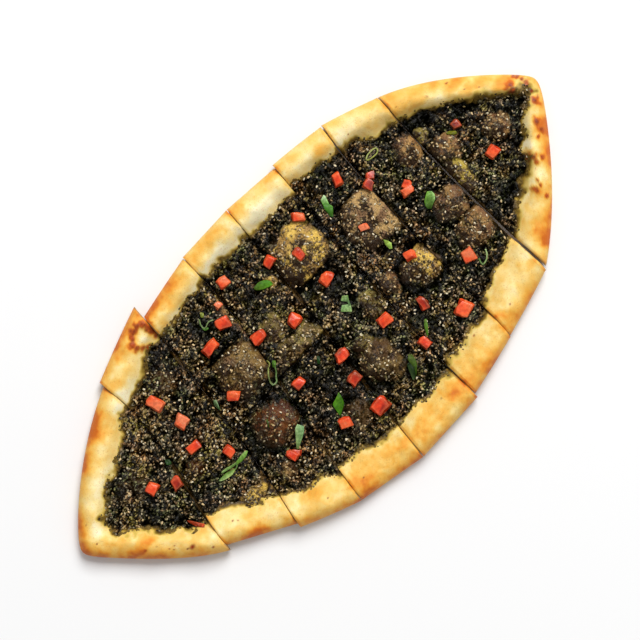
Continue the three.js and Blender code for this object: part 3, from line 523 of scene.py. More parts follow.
def noise(tree, place, scale, detail=4.0, roughness=0.55):
    """Blender's noise on the piece's own coordinates, scale in bumps per metre."""
    spot = shader(tree, "ShaderNodeTexCoord", (place[0] - 200, place[1]))
    return shader(tree, "ShaderNodeTexNoise", place, Vector=spot.outputs["Object"],
                  Scale=scale, Detail=detail, Roughness=roughness).outputs["Fac"]


def ramp(tree, place, value, stops):
    """A colour ramp with the given (place, colour) stops."""
    node = shader(tree, "ShaderNodeValToRGB", place, Fac=value)
    elements = node.color_ramp.elements
    while len(elements) < len(stops):
        elements.new(0.5)
    for element, (position, colour) in zip(elements, stops):
        element.position = position
        element.color = (*colour, 1)
    return node.outputs["Color"]


def mix(tree, place, share, a, b, way="MIX"):
    """Mixes colour b into colour a by the share."""
    node = tree.nodes.new("ShaderNodeMix")
    node.location = place
    node.data_type = "RGBA"
    node.blend_type = way
    node.clamp_factor = True
    for socket, value in ((node.inputs[0], share), (node.inputs[6], a), (node.inputs[7], b)):
        if isinstance(value, bpy.types.NodeSocket):
            tree.links.new(value, socket)
        else:
            socket.default_value = value if isinstance(value, float) else (*value, 1)
    return node.outputs[2]


def maths(tree, place, way, a, b, held=False):
    """A sum, a product and so on, held between 0 and 1 where asked."""
    node = shader(tree, "ShaderNodeMath", place, _0=a, _1=b)
    node.operation = way
    node.use_clamp = held
    return node.outputs[0]


def read(tree, place, name):
    """Reads what keep or keep_colour has stored on the mesh."""
    node = tree.nodes.new("ShaderNodeAttribute")
    node.location = place
    node.attribute_name = name
    return node


def new_material(name):
    """A new material with its node tree and its surface shader."""
    material = bpy.data.materials.new(name)
    material.use_nodes = True
    tree = material.node_tree
    return material, tree, tree.nodes["Principled BSDF"]


def speckling():
    """Shader group: a mask of fine specks, 1 where noise of the given scale passes a level."""
    group = bpy.data.node_groups.new("specks", "ShaderNodeTree")
    for name, value in (("Scale", 600.0), ("Level", 0.6), ("Softness", 0.05)):
        socket = group.interface.new_socket(name, in_out="INPUT", socket_type="NodeSocketFloat")
        socket.default_value = value
    group.interface.new_socket("Mask", in_out="OUTPUT", socket_type="NodeSocketFloat")
    ins = group.nodes.new("NodeGroupInput")
    outs = group.nodes.new("NodeGroupOutput")
    ins.location, outs.location = (-600, 0), (400, 0)
    fine = noise(group, (-300, 100), ins.outputs["Scale"], 2.0)
    above = maths(group, (-100, 0), "SUBTRACT", fine, ins.outputs["Level"])
    mask = maths(group, (100, 0), "DIVIDE", above, ins.outputs["Softness"], held=True)
    group.links.new(mask, outs.inputs["Mask"])
    return group


specks_group = speckling()


def specks(tree, place, scale, level, softness=0.05):
    """Puts the group of specks in a material and returns its mask."""
    node = tree.nodes.new("ShaderNodeGroup")
    node.node_tree = specks_group
    node.location = place
    for name, value in (("Scale", scale), ("Level", level), ("Softness", softness)):
        node.inputs[name].default_value = value
    return node.outputs["Mask"]


def crust_material():
    """Pale baked dough: cream to gold by broad blotches and by how brown the crust is, with painted shade on
    the lower side and painted highlights at some pale places; an oily yellow-green stain by the zaatar, dark
    blisters and specks, a floury underside, and at the cuts the crumb, darkened as painted shade."""
    material, tree, surface = new_material("baked_crust")
    browned_and_shaded = read(tree, (-1500, 500), "browned_and_shaded").outputs["Fac"]
    uneven = maths(tree, (-1300, 300), "MULTIPLY_ADD", noise(tree, (-1500, 300), 120.0, 4.0), 0.22)
    uneven.node.inputs[2].default_value = -0.11
    colour = ramp(tree, (-900, 500), maths(tree, (-1100, 400), "ADD", browned_and_shaded, uneven, held=True), [
        (0.0, (0.93, 0.84, 0.54)), (0.22, (0.90, 0.71, 0.31)), (0.45, (0.84, 0.55, 0.145)),
        (0.66, (0.81, 0.42, 0.065)), (0.84, (0.76, 0.28, 0.024)), (1.0, (0.58, 0.13, 0.008)),
    ])
    oil = read(tree, (-1200, 0), "oiled").outputs["Fac"]
    stain = ramp(tree, (-900, -50), oil, [
        (0.0, (0.88, 0.74, 0.30)), (0.30, (0.68, 0.49, 0.10)), (0.62, (0.30, 0.19, 0.025)),
        (1.0, (0.05, 0.028, 0.005)),
    ])
    share = ramp(tree, (-900, -200), oil, [(0.0, (0, 0, 0)), (0.3, (0.8, 0.8, 0.8)), (0.6, (1, 1, 1))])
    colour = mix(tree, (-700, 450), share, colour, stain)
    dusty = maths(tree, (-900, 100), "MULTIPLY", specks(tree, (-1200, -150), 900.0, 0.60), 0.35)
    colour = mix(tree, (-500, 400), dusty, colour, (0.55, 0.24, 0.05))
    burnt = read(tree, (-1200, -300), "burnt").outputs["Fac"]
    char = ramp(tree, (-900, -300), noise(tree, (-1200, -450), 420.0, 4.0), [
        (0.35, (0.13, 0.016, 0.004)), (0.65, (0.42, 0.065, 0.010)),
    ])
    colour = mix(tree, (-300, 300), burnt, colour, char)
    # The cut faces: the crumb's colour, darkened to tan-brown as painted shade of the narrow gaps.
    cut_crumb_and_shade = read(tree, (-900, -600), "cut_crumb_and_shade").outputs["Fac"]
    colour = mix(tree, (-100, 250), cut_crumb_and_shade, colour, (0.40, 0.235, 0.085))
    below = read(tree, (-900, -800), "below").outputs["Fac"]
    sole = ramp(tree, (-600, -800), noise(tree, (-900, -950), 60.0, 5.0), [
        (0.35, (0.80, 0.62, 0.36)), (0.52, (0.70, 0.42, 0.15)), (0.70, (0.36, 0.15, 0.045)),
    ])
    colour = mix(tree, (100, 200), below, colour, sole)
    tree.links.new(colour, surface.inputs["Base Color"])
    sheen = ramp(tree, (-100, -200), oil, [(0.0, (0.52, 0.52, 0.52)), (0.8, (0.3, 0.3, 0.3))])
    tree.links.new(mix(tree, (100, -200), burnt, sheen, (0.25, 0.25, 0.25)), surface.inputs["Roughness"])
    surface.inputs["Subsurface Weight"].default_value = 0.12
    surface.inputs["Subsurface Radius"].default_value = (0.004, 0.0022, 0.001)
    surface.inputs["Specular IOR Level"].default_value = 0.22
    pores = maths(tree, (100, -500), "ADD", noise(tree, (-100, -500), 260.0, 6.0),
                  noise(tree, (-100, -700), 1300.0, 3.0))
    bump = shader(tree, "ShaderNodeBump", (300, -400), Height=pores, Strength=0.5, Distance=0.0006)
    tree.links.new(bump.outputs["Normal"], surface.inputs["Normal"])
    return material


def browning_and_shade(strip, x, y, to_top, to_bottom):
    """How brown the crust is, from 0, pale, to 1, with painted light and shade in it. It rises towards the
    lower side and the outline, on the upper side towards both ends of the loaf, at toasted places, round
    blisters and at the corners of cuts; on the lower side and its outer edge the rise is partly painted
    shade. It falls at pale places, some of which are painted highlights, and is uneven all over."""
    # Painted shade, with some real browning: the lower side, and most of all its lower outer edge, is
    # browner.
    lower_side = smooth(0.5 + (to_top - to_bottom) / 60)
    browned_and_shaded = 0.23 + lower_side * (0.04 + 0.15 * smooth(0.9 - (x - 20) / 120))
    browned_and_shaded = browned_and_shaded + 0.22 * (1 - smooth((np.minimum(to_top, to_bottom) - 1) / 15))
    browned_and_shaded = browned_and_shaded + 0.22 * smooth(1 - to_bottom / 10)
    browned_and_shaded = browned_and_shaded + 0.26 * smooth(1 - to_top / 10) * smooth(0.15 - x / 90)
    browned_and_shaded = browned_and_shaded + 0.11 * (1 - lower_side) * smooth((x - 90) / 50)
    freckles = 0.06 + 0.05 * lower_side
    browned_and_shaded = browned_and_shaded + layers(x, y, (0.20, 24, 15), (0.16, 9, 14), (freckles, 4, 42), (0.05, 1.8, 54))
    browned_and_shaded = browned_and_shaded + 0.32 * spots(toasted_places, x, y, 0.25) + 0.55 * spots(blister_places, x, y, 0.3, 1.7)
    corner = smooth(1.6 - distance_to_cut(strip, x, y) / 1.5) * (0.6 + 0.4 * blotches(x, y, 6, 33))
    # Some pale places are painted highlights.
    return clamp(browned_and_shaded + 0.28 * corner - 0.26 * spots(pale_and_lit_places, x, y, 0.2))


crust = crust_material()
bread_columns, bread_rows, bread_step = 66, 250, 5
tip_columns = 30  # more for a strip that ends in a tip
for strip in strips:
    x, y = strip_grid(strip, bread_columns + tip_columns * bool(strip["nose"]), bread_rows)
    top = np.stack([x, y, bread_top(strip, x, y)], axis=-1)
    for end, cut in ((0, strip["left"]), (-1, strip["right"])):
        if cut:
            lean = (half_gap(cut, y[end]) - lips_apart) * (0.75 + 0.25 * blotches(x[end], y[end], 5, 32))
            top[end, :, 0] += np.minimum(lean, most_lean) * (1 if end else -1)
    lower_x, lower_y = x[:, ::bread_step], y[:, ::bread_step]
    under = np.stack([lower_x, lower_y, bread_under(strip, lower_x, lower_y)], axis=-1)
    top[:, [0, -1], 2] = edge_height
    under[:, [0, -1], 2] = edge_height
    mesh = slab(f"baked_strip_{strip['index'] + 1}", top, under, bread_step, joined=True)
    weld(mesh)
    x, y, z = places_of(mesh)
    to_top, to_bottom = (distance_to(strip["chains"][side], x, y) for side in ("top", "bottom"))
    keep(mesh, "browned_and_shaded", browning_and_shade(strip, x, y, to_top, to_bottom))
    seep = 4.2 + layers(x, y, (1.56, 6, 16), (1.04, 2.5, 17), (1.9, 22, 41))
    keep(mesh, "oiled", clamp((ragged_inside(strip, x, y) + seep) / 4.8) ** 1.3)
    burnt = np.maximum(0.9 * spots(blister_places, x, y, 0.5, 1.05), spots(speck_places, x, y, 0.2))
    keep(mesh, "burnt", clamp(burnt))
    upper_face = z > bread_top(strip, x, y) - 0.05
    keep(mesh, "cut_crumb_and_shade", (distance_to_cut(strip, x, y) < 0.02) & ~upper_face)
    keep(mesh, "below", smooth((3.5 - z) / 3))
    put(mesh, crust, [f"bread_{strip['index'] + 1}"])


# ---------------------------------------------------------------- zaatar
# A thin paste of dried thyme, sumac and oil, baked on to the dough: small dark crumbs that lie
# packed together, thinner on the bubbles, with a ragged border on the crust.
spread_thickness = 0.9
border_run = 4  # the paste thins out over this distance at its border
grain_size = 1.9
grain_height = 1.35
coarse_radius, fine_radius = 0.74, 0.7  # of a crumb, in cells of its lattice
bury = 0.35  # bare places of the layer lie this far under the crust
stray_reach = 3.4  # single crumbs lie this far out on the crust
reach_out = 8  # how far the layer's mesh goes past its border
slab_depth = 0.6
border_stain = (0.17, 0.11, 0.022)  # oil and thin paste where the zaatar ends
# Dark purple-brown of a bubble's flanks: partly the paste's own colour, partly painted shade.
flank_brown_and_shade = (0.026, 0.012, 0.004)
cut_brown = (0.085, 0.048, 0.012)  # thin paste and bread beside a cut
bubble_turn = (0.60, 0.70, 0.50)  # how far a bubble's red, green and blue swing with its oil

# Places where the paste lies thick and black (below 0) or thin and brown (above 0): x, y,
# radius x, radius y, strength.
zones = [
    (-156, 54, 15, 22, 0.7), (-142, 34, 9, 24, 0.5), (-192, -6, 16, 14, -0.5), (-168, -26, 16, 10, -0.4),
    (-112, 78, 18, 12, -0.5), (-104, 50, 12, 14, -0.4), (-122, 16, 14, 12, 0.1), (-112, -50, 18, 12, 0.2),
    (-61, 72, 14, 16, -0.7), (-42, 62, 4, 20, 0.9), (-74, 2, 14, 8, 0.3), (-52, -56, 12, 14, -0.3),
    (-12, 84, 22, 14, -0.3), (-20, 60, 16, 10, -0.8), (-22, 27, 16, 10, 0.6), (-4, -8, 12, 16, -0.3),
    (-28, -40, 14, 26, -1.0), (14, 32, 12, 10, -0.7), (24, 12, 14, 12, -0.9), (38, 28, 12, 8, -0.5),
    (30, -78, 16, 14, 0.1), (84, 82, 20, 12, -0.5), (66, 12, 6, 14, 0.6), (62, -38, 12, 14, -0.6),
    (82, -56, 14, 16, -0.15), (110, 40, 12, 10, 0.1), (122, 54, 10, 16, -0.2), (120, 22, 10, 18, -0.6),
    (120, -50, 14, 14, -0.7), (136, -62, 12, 10, -0.4), (170, 60, 24, 7, -1.8), (200, 44, 20, 6, -1.8),
    (178, -30, 18, 12, -1.0), (204, -2, 8, 12, -0.8), (222, 20, 12, 10, -0.7), (150, 66, 10, 8, -0.5),
    (91, -56, 12, 12, 0.4), (9, 5, 10, 10, 0.7), (206, 12, 10, 10, 0.9), (-104, 10, 14, 20, 0.1),
    (-205, -16, 18, 16, -0.4),
]


def zone_at(x, y):
    """The places' strengths, each falling as a bell from its middle, added up and broken up. The foot of
    each bubble is darker, as painted shade, the more so the higher it is."""
    total = layers(x, y, (0.35, 13, 26), (0.45, 6, 27), (0.3, 3.5, 39))
    for centre_x, centre_y, radius_x, radius_y, strength in zones:
        total += strength * np.exp(-((x - centre_x) / radius_x) ** 2 - ((y - centre_y) / radius_y) ** 2)
    # Painted shade round the foot of each bubble.
    for _, centre_x, centre_y, radius_x, radius_y, height, *_ in bubbles:
        reach = np.hypot((x - centre_x) / radius_x, (y - centre_y) / radius_y)
        total -= 0.09 * height * np.exp(-((reach - 1.05) / 0.2) ** 2)
    return total


def grains(x, y, size, seed):
    """Packed round crumbs: each cell of a lattice holds one centre. Returns how far each point
    lies from the nearest centre, in cells, and that crumb's random shade."""
    rng = np.random.default_rng(seed)
    aside, along = rng.uniform(0.1, 0.9, (2, 256, 256))
    shade = rng.uniform(0, 1, (256, 256))
    gx, gy = x / size, y / size
    ix, iy = np.floor(gx).astype(int), np.floor(gy).astype(int)
    nearest = np.full(x.shape, 9.0)
    tone = np.zeros(x.shape)
    for right in (-1, 0, 1):
        for up in (-1, 0, 1):
            i, j = (ix + right) % 256, (iy + up) % 256
            away = np.hypot(ix + right + aside[i, j] - gx, iy + up + along[i, j] - gy)
            tone = np.where(away < nearest, shade[i, j], tone)
            nearest = np.minimum(nearest, away)
    return nearest, tone


def thinness(strip, x, y):
    """How thin the paste is on a bubble, from 0 to the bubble's own share, and the colour there: the
    bubble's own on grains of its crest and its right side, which are painted as lit, duller or oilier by
    turns, and dark purple-brown on its flanks, partly the paste's own colour and partly painted shade.
    Beside a cut the paste is thin and brown in places."""
    bare = np.zeros_like(x)
    colour = np.zeros((*x.shape, 3))
    _, grain = grains(x, y, 1.1, 49)
    patchy = layers(x, y, (0.55, 8, 28), (0.60, 3.6, 29), (0.30, 1.8, 40))
    turn = clamp(1.5 * blotches(x, y, 5, 57), -0.6, 0.4)[..., None]
    for bubble in bubbles:
        index, centre_x, centre_y, radius_x, radius_y, height, _, share, tone = bubble
        if index != strip["index"]:
            continue
        rise = bubble_height(bubble, x, y) / height
        here = smooth(2.0 * rise + 0.5 * patchy) * share * (rise > 0)
        # Painted light and shade: a bubble's crest and right side, towards the lamp, take its own colour,
        # and its flanks the dark brown.
        lit = (x - centre_x) / radius_x + 0.30 * (y - centre_y) / radius_y + 0.3 * rise
        golden_where_lit = smooth(0.08 + 0.9 * lit + patchy + 0.95 * (grain - 0.5))[..., None]
        own = np.array(tone) * (1 + turn * np.array(bubble_turn))
        more = here > bare
        colour[more] = blend(np.array(flank_brown_and_shade), own, golden_where_lit)[more]
        bare = np.maximum(bare, here)
    beside = 1.2 - distance_to_cut(strip, x, y) / (1.1 + 0.9 * blotches(x, y, 3, 55))
    here = 0.7 * smooth(beside) * smooth(0.05 + 1.3 * blotches(x, y, 17, 56))
    more = here > bare
    colour[more] = cut_brown
    return np.maximum(bare, here), colour


def cut_shadow(strip, x, y):
    """1 in a cut or a knife mark, falling to 0 some millimetres beside it, raggedly."""
    near = 1 - distance_to_cut(strip, x, y) / (2.4 + 1.2 * blotches(x, y, 7, 52))
    for mark_y, start, stop in strip["marks"]:
        outside = np.maximum(np.maximum(start - x, x - stop), 0)
        near = np.maximum(near, 1 - np.hypot(y - mark_y, outside) / 2.2)
    depth = clamp(0.85 + 0.7 * blotches(x, y, 14, 53), 0.35, 1)
    return depth * clamp(near + 0.6 * blotches(x, y, 3, 50) * (near > -0.6))


def zaatar_parts(strip, x, y):
    """The paste's cover (0 bare crust, 1 full), the cover of single crumbs, which reaches
    further out, the crumbs' relief from 0 in the gaps to 1, and their shade."""
    inside = ragged_inside(strip, x, y)
    cover = smooth((inside - 0.2) / border_run)
    bent_x, bent_y = x + 0.9 * blotches(x, y, 4, 21), y + 0.9 * blotches(x, y, 4, 22)
    coarse, shade = grains(bent_x, bent_y, grain_size, 23)
    flat_x, flat_y = x + 0.5 * blotches(x, y, 2, 34), y + 0.5 * blotches(x, y, 2, 35)
    fine, fine_shade = grains(0.7 * flat_x, 1.3 * flat_y, 0.5 * grain_size, 24)
    stray = smooth((inside + stray_reach * (1.3 * shade - 0.45)) / 0.8)
    domes = np.sqrt(1 - clamp(coarse / coarse_radius) ** 2) * (0.35 + 0.65 * ((7.3 * shade) % 1))
    relief = 0.72 * domes + 0.28 * np.sqrt(1 - clamp(fine / fine_radius) ** 2)
    relief = clamp(relief * (1 + 0.45 * blotches(x, y, 4.5, 30)))
    zone = zone_at(x, y)
    spread = 1.45 + 0.45 * clamp(zone, -1.2, 0.6)
    tone = 0.474 + spread * (blend(shade, fine_shade, 0.5) - 0.5) + 0.18 * zone
    return cover, stray, relief, clamp(tone - 0.40 * cut_shadow(strip, x, y))


def zaatar_top(strip, x, y, with_relief=True):
    """Height of the layer's upper face: the bread, the paste and its crumbs."""
    cover, stray, relief, _ = zaatar_parts(strip, x, y)
    bare, _ = thinness(strip, x, y)
    crumbs = grain_height * (1 - 0.45 * bare) * (relief if with_relief else 0.6)
    clumps = layers(x, y, (0.55, 7, 25), (0.55, 4.5, 30))
    paste = cover * (spread_thickness * (1 - 0.35 * bare) + clumps)
    lifted = np.maximum(cover, stray)
    return bread_top(strip, x, y) - bury + lifted * bury + paste + lifted * crumbs * blend(0.4, 1, cover)


def zaatar_material():
    """Dark olive-brown crumbs with painted shade, near black, in the gaps between them, greyer and browner
    by turns, glossy with oil, and the dough's tan or olive showing through on the bubbles, where their
    crests and right sides are painted lit and their flanks painted in shade."""
    material, tree, surface = new_material("baked_zaatar")
    shade = read(tree, (-1500, 500), "shade").outputs["Fac"]
    black = ramp(tree, (-1200, 500), shade, [
        (0.18, (0.0015, 0.0013, 0.0007)), (0.46, (0.008, 0.0075, 0.003)), (0.60, (0.030, 0.028, 0.014)),
        (0.74, (0.095, 0.090, 0.053)), (0.88, (0.24, 0.225, 0.145)), (1.0, (0.50, 0.44, 0.31)),
    ])
    brown = ramp(tree, (-1200, 800), shade, [
        (0.18, (0.003, 0.0015, 0.0005)), (0.44, (0.017, 0.009, 0.002)), (0.58, (0.055, 0.032, 0.007)),
        (0.72, (0.145, 0.090, 0.024)), (0.86, (0.31, 0.205, 0.072)), (1.0, (0.54, 0.39, 0.17)),
    ])
    crumbs = mix(tree, (-1050, 650), read(tree, (-1500, 800), "warm").outputs["Fac"], black, brown)
    fine = noise(tree, (-1500, 200), 950.0, 5.0, 0.65)
    grit = ramp(tree, (-1200, 200), fine, [(0.3, (0.30, 0.30, 0.30)), (0.7, (1.5, 1.45, 1.35))])
    colour = mix(tree, (-900, 400), 1.0, crumbs, grit, "MULTIPLY")
    drift = ramp(tree, (-900, 600), noise(tree, (-1200, 700), 70.0, 3.0), [
        (0.38, (1.15, 0.90, 0.95)), (0.50, (1.0, 1.0, 1.0)), (0.62, (0.88, 1.06, 0.75)),
    ])
    colour = mix(tree, (-750, 450), 1.0, colour, drift, "MULTIPLY")
    bare = read(tree, (-1200, -100), "bare")
    mottle = ramp(tree, (-900, -200), fine, [(0.35, (0.55, 0.50, 0.45)), (0.65, (1.35, 1.3, 1.2))])
    shown = mix(tree, (-750, -100), 1.0, bare.outputs["Color"], mottle, "MULTIPLY")
    colour = mix(tree, (-600, 300), bare.outputs["Alpha"], colour, shown)
    relief = read(tree, (-900, -500), "relief").outputs["Fac"]
    # Painted shade in the gaps between crumbs, darkest where the relief is lowest.
    painted_gap_shade = ramp(tree, (-600, -500), relief, [(0.22, (0.02, 0.014, 0.007)), (0.62, (1.0, 1.0, 1.0))])
    colour = mix(tree, (-300, 200), 1.0, colour, painted_gap_shade, "MULTIPLY")
    tree.links.new(colour, surface.inputs["Base Color"])
    gloss = ramp(tree, (-300, -200), fine, [(0.35, (0.22, 0.22, 0.22)), (0.60, (0.45, 0.45, 0.45))])
    tree.links.new(gloss, surface.inputs["Roughness"])
    shine = ramp(tree, (-300, -350), relief, [(0.5, (0.0, 0.0, 0.0)), (0.85, (0.24, 0.24, 0.24))])
    tree.links.new(shine, surface.inputs["Specular IOR Level"])
    bump = shader(tree, "ShaderNodeBump", (-100, -600), Height=fine, Strength=0.8, Distance=0.0007)
    tree.links.new(bump.outputs["Normal"], surface.inputs["Normal"])
    return material


zaatar = zaatar_material()
zaatar_columns, zaatar_rows, zaatar_step = 140, 420, 3
zaatar_tip_columns = 40  # more for a strip that ends in a tip
zaatar_span = {"left": (0.145, 1), "right": (0, 0.925), None: (0, 1)}  # shares across a strip
for strip in strips:
    nose = strip["nose"]
    t = np.linspace(*zaatar_span[nose], zaatar_columns + zaatar_tip_columns * bool(nose) + 1)
    low, high = edge_y(strip, "bottom", t), edge_y(strip, "top", t)
    reach = [crust_width(strip, side, t) + 2 * bool(nose) - reach_out for side in ("bottom", "top")]
    limit = nose_limit[nose] * (high - low) - 1.5 * bool(nose)
    start = low + np.minimum(reach[0], limit)
    stop = high - np.minimum(reach[1], limit)
    y = blend(start[:, None], stop[:, None], np.linspace(0, 1, zaatar_rows + 1)[None, :])
    left, right = sides_at(strip, y)
    x = blend(left, right, t[:, None])
    top = np.stack([x, y, zaatar_top(strip, x, y)], axis=-1)
    overhang = 0.42 + 0.42 * blotches(x, y, 2.2, 31)
    top[0, :, 0] -= overhang[0] * bool(strip["left"])
    top[-1, :, 0] += overhang[-1] * bool(strip["right"])
    lower_x, lower_y = x[:, ::zaatar_step], y[:, ::zaatar_step]
    under = np.stack([lower_x, lower_y, bread_top(strip, lower_x, lower_y) - slab_depth], axis=-1)
    mesh = slab(f"zaatar_layer_{strip['index'] + 1}", top, under, zaatar_step, joined=False)
    x, y, z = places_of(mesh)
    _, _, relief, shade = zaatar_parts(strip, x, y)
    bare, colour = thinness(strip, x, y)
    rim_of_paste = 0.9 * smooth(0.8 - ragged_inside(strip, x, y) / 3 + 0.4 * blotches(x, y, 3, 38))
    colour = np.where((rim_of_paste > bare)[:, None], border_stain, colour)
    bare = np.maximum(bare, rim_of_paste)
    keep(mesh, "relief", blend(relief, 1, 0.5 * bare))
    keep(mesh, "shade", shade)
    keep(mesh, "warm", smooth(0.5 + 0.55 * zone_at(x, y) + 0.4 * blotches(x, y, 10, 51)))
    keep_colour(mesh, "bare", np.concatenate([colour, bare[:, None]], axis=1))
    put(mesh, zaatar, [f"zaatar_{strip['index'] + 1}"])


# ---------------------------------------------------------------- sesame and crumbs
# Whole hulled sesame seeds, about 3 mm long, strewn over the paste before baking, and loose
# crumbs of herb and toasted seed between them.
spread_length, spread_width = (-225, 243), (-98, 98)  # where the zaatar lies on the loaf


def strip_points(rng, count, margin):
    """Random places at least the margin inside the zaatar of all strips, with their strips."""
    xs = rng.uniform(*spread_length, count)
    ys = rng.uniform(*spread_width, count)
    chosen = []
    for strip in strips:
        u = share_across(strip, xs, ys)
        near = (u > 0.015) & (u < 0.985)
        x, y = xs[near], ys[near]
        low, high = edge_y(strip, "bottom", u[near]), edge_y(strip, "top", u[near])
        kept = (ragged_inside(strip, x, y) > margin) & (y > low) & (y < high)
        chosen.append((strip, x[kept], y[kept]))
    return chosen


def egg(around, rings, length, width, height, taper):
    """A closed seed: rings along x whose radius is an ellipse's, narrower towards one end."""
    t = np.linspace(0, np.pi, rings + 2)[1:-1, None]
    turn = np.linspace(0, 2 * np.pi, around, endpoint=False)[None, :]
    radius = np.sin(t) * (1 - taper * np.cos(t))
    x = np.cos(t) * length / 2 + 0 * turn
    body = np.stack([x, radius * np.cos(turn) * width / 2, radius * np.sin(turn) * height / 2], axis=-1)
    ends = np.array([[length / 2, 0, 0], [-length / 2, 0, 0]])
    points = np.concatenate([body.reshape(-1, 3), ends])
    ring = np.arange(rings * around).reshape(rings, around)
    after = np.roll(ring, -1, axis=1)
    sides = np.stack([ring[:-1], ring[1:], after[1:], after[:-1]], axis=-1).reshape(-1, 4)
    front = np.stack([ring[0], after[0], np.full(around, rings * around)], axis=-1)
    back = np.stack([after[-1], ring[-1], np.full(around, rings * around + 1)], axis=-1)
    return points, [sides, front, back]


def strew(name, shape, chosen, rng, sizes, lift, palette, material):
    """Joins turned and tilted copies of a shape, laid on the zaatar at the chosen places."""
    points, parts = shape
    centres, normals = [], []
    for strip, x, y in chosen:
        z = zaatar_top(strip, x, y, with_relief=False)
        slope_x = (zaatar_top(strip, x + 1, y, False) - zaatar_top(strip, x - 1, y, False)) / 2
        slope_y = (zaatar_top(strip, x, y + 1, False) - zaatar_top(strip, x, y - 1, False)) / 2
        centres.append(np.stack([x, y, z + lift], axis=1))
        normals.append(np.stack([-slope_x, -slope_y, np.ones_like(x)], axis=1))
    centre, normal = np.concatenate(centres), np.concatenate(normals)
    count = len(centre)
    normal = normal + rng.normal(0, 0.22, (count, 3)) * [1, 1, 0]
    normal /= np.linalg.norm(normal, axis=1)[:, None]
    turn = rng.uniform(0, 2 * np.pi, count)
    heading = np.stack([np.cos(turn), np.sin(turn), np.zeros(count)], axis=1)
    along = heading - (heading * normal).sum(axis=1)[:, None] * normal
    along /= np.linalg.norm(along, axis=1)[:, None]
    across = np.cross(normal, along)
    axes = np.stack([along, across, normal], axis=1) * rng.uniform(*sizes, count)[:, None, None]
    placed = np.einsum("pk,nkc->npc", points, axes) + centre[:, None, :]
    offsets = np.arange(count)[:, None, None] * len(points)
    joined = [(part[None] + offsets).reshape(-1, part.shape[1]) for part in parts]
    mesh = mesh_from(name, placed.reshape(-1, 3) / 1000, joined)
    tones = np.array(palette)[rng.integers(0, len(palette), count)]
    tones = tones * rng.uniform(0.75, 1.15, count)[:, None]
    alpha = np.ones((count * len(points), 1))
    keep_colour(mesh, "tone", np.concatenate([np.repeat(tones, len(points), axis=0), alpha], axis=1))
    put(mesh, material, [])


def strewn_material(name, roughness, grime):
    """The piece's own tone, darkened by fine specks of paste, with a soft oily shine."""
    material, tree, surface = new_material(name)
    tone = read(tree, (-700, 300), "tone").outputs["Color"]
    dirt = maths(tree, (-500, 0), "MULTIPLY", specks(tree, (-700, 0), 1500.0, 0.55, 0.08), grime)
    tree.links.new(mix(tree, (-300, 200), dirt, tone, (0.05, 0.032, 0.013)), surface.inputs["Base Color"])
    surface.inputs["Roughness"].default_value = roughness
    surface.inputs["Specular IOR Level"].default_value = 0.2
    surface.inputs["Subsurface Weight"].default_value = 0.1
    surface.inputs["Subsurface Radius"].default_value = (0.001, 0.0006, 0.0003)
    pores = noise(tree, (-500, -300), 1800.0)
    bump = shader(tree, "ShaderNodeBump", (-300, -300), Height=pores, Strength=0.3, Distance=0.0002)
    tree.links.new(bump.outputs["Normal"], surface.inputs["Normal"])
    return material


# Footprints of the toppings, so that seeds lie round them and not in them.
topping_boxes = [
    np.array(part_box(name)) * 1000 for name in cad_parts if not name.startswith(("bread", "zaatar"))
]


def clear_of_toppings(chosen, margin):
    """Leaves out places in the oval footprint of a topping, drawn in by the margin."""
    cleared = []
    for strip, x, y in chosen:
        free_places = np.ones(len(x), dtype=bool)
        for low, high in topping_boxes:
            middle, half = (low + high) / 2, (high - low) / 2 - margin
            reach = ((x - middle[0]) / half[0]) ** 2 + ((y - middle[1]) / half[1]) ** 2
            free_places &= reach > 1
        cleared.append((strip, x[free_places], y[free_places]))
    return cleared


def thinned(rng, chosen, on_bare):
    """Leaves out places by chance: most of those on thick black paste, few on thin brown paste,
    and on_bare says how much the share that stays grows where dough shows through."""
    left_over = []
    for strip, x, y in chosen:
        bare, _ = thinness(strip, x, y)
        wanted = rng.uniform(0, 1, len(x)) < clamp(0.45 + 0.40 * zone_at(x, y) + on_bare * bare, 0.04, 1)
        left_over.append((strip, x[wanted], y[wanted]))
    return left_over


seed_tones = [
    (0.68, 0.50, 0.26), (0.48, 0.34, 0.16), (0.33, 0.22, 0.095), (0.24, 0.17, 0.06), (0.72, 0.62, 0.42),
    (0.16, 0.10, 0.045), (0.22, 0.15, 0.075), (0.30, 0.25, 0.16), (0.18, 0.15, 0.10),
]
seed_rng = np.random.default_rng(41)
seed_places = thinned(seed_rng, strip_points(seed_rng, count=9500, margin=0.8), on_bare=0.5)
seed_places = clear_of_toppings(seed_places, margin=0)
seed_shape = egg(around=6, rings=4, length=2.5, width=1.55, height=0.95, taper=0.28)
seed_look = strewn_material("sesame_seed", roughness=0.38, grime=0.45)
strew("sesame_seeds", seed_shape, seed_places, seed_rng, sizes=(0.65, 1.1), lift=0.4,
      palette=seed_tones, material=seed_look)

crumb_tones = [
    (0.008, 0.006, 0.003), (0.030, 0.022, 0.009), (0.11, 0.085, 0.045), (0.016, 0.015, 0.007),
    (0.20, 0.16, 0.10), (0.006, 0.005, 0.003), (0.06, 0.055, 0.035), (0.32, 0.27, 0.18),
]
crumb_rng = np.random.default_rng(43)
crumb_places = thinned(crumb_rng, strip_points(crumb_rng, count=13000, margin=-2), on_bare=-0.8)
crumb_places = clear_of_toppings(crumb_places, margin=1)
crumb_shape = egg(around=5, rings=2, length=1.9, width=1.5, height=1.2, taper=0.2)
crumb_look = strewn_material("herb_crumb", roughness=0.42, grime=0.5)
strew("herb_crumbs", crumb_shape, crumb_places, crumb_rng, sizes=(0.5, 1.15), lift=0.35,
      palette=crumb_tones, material=crumb_look)
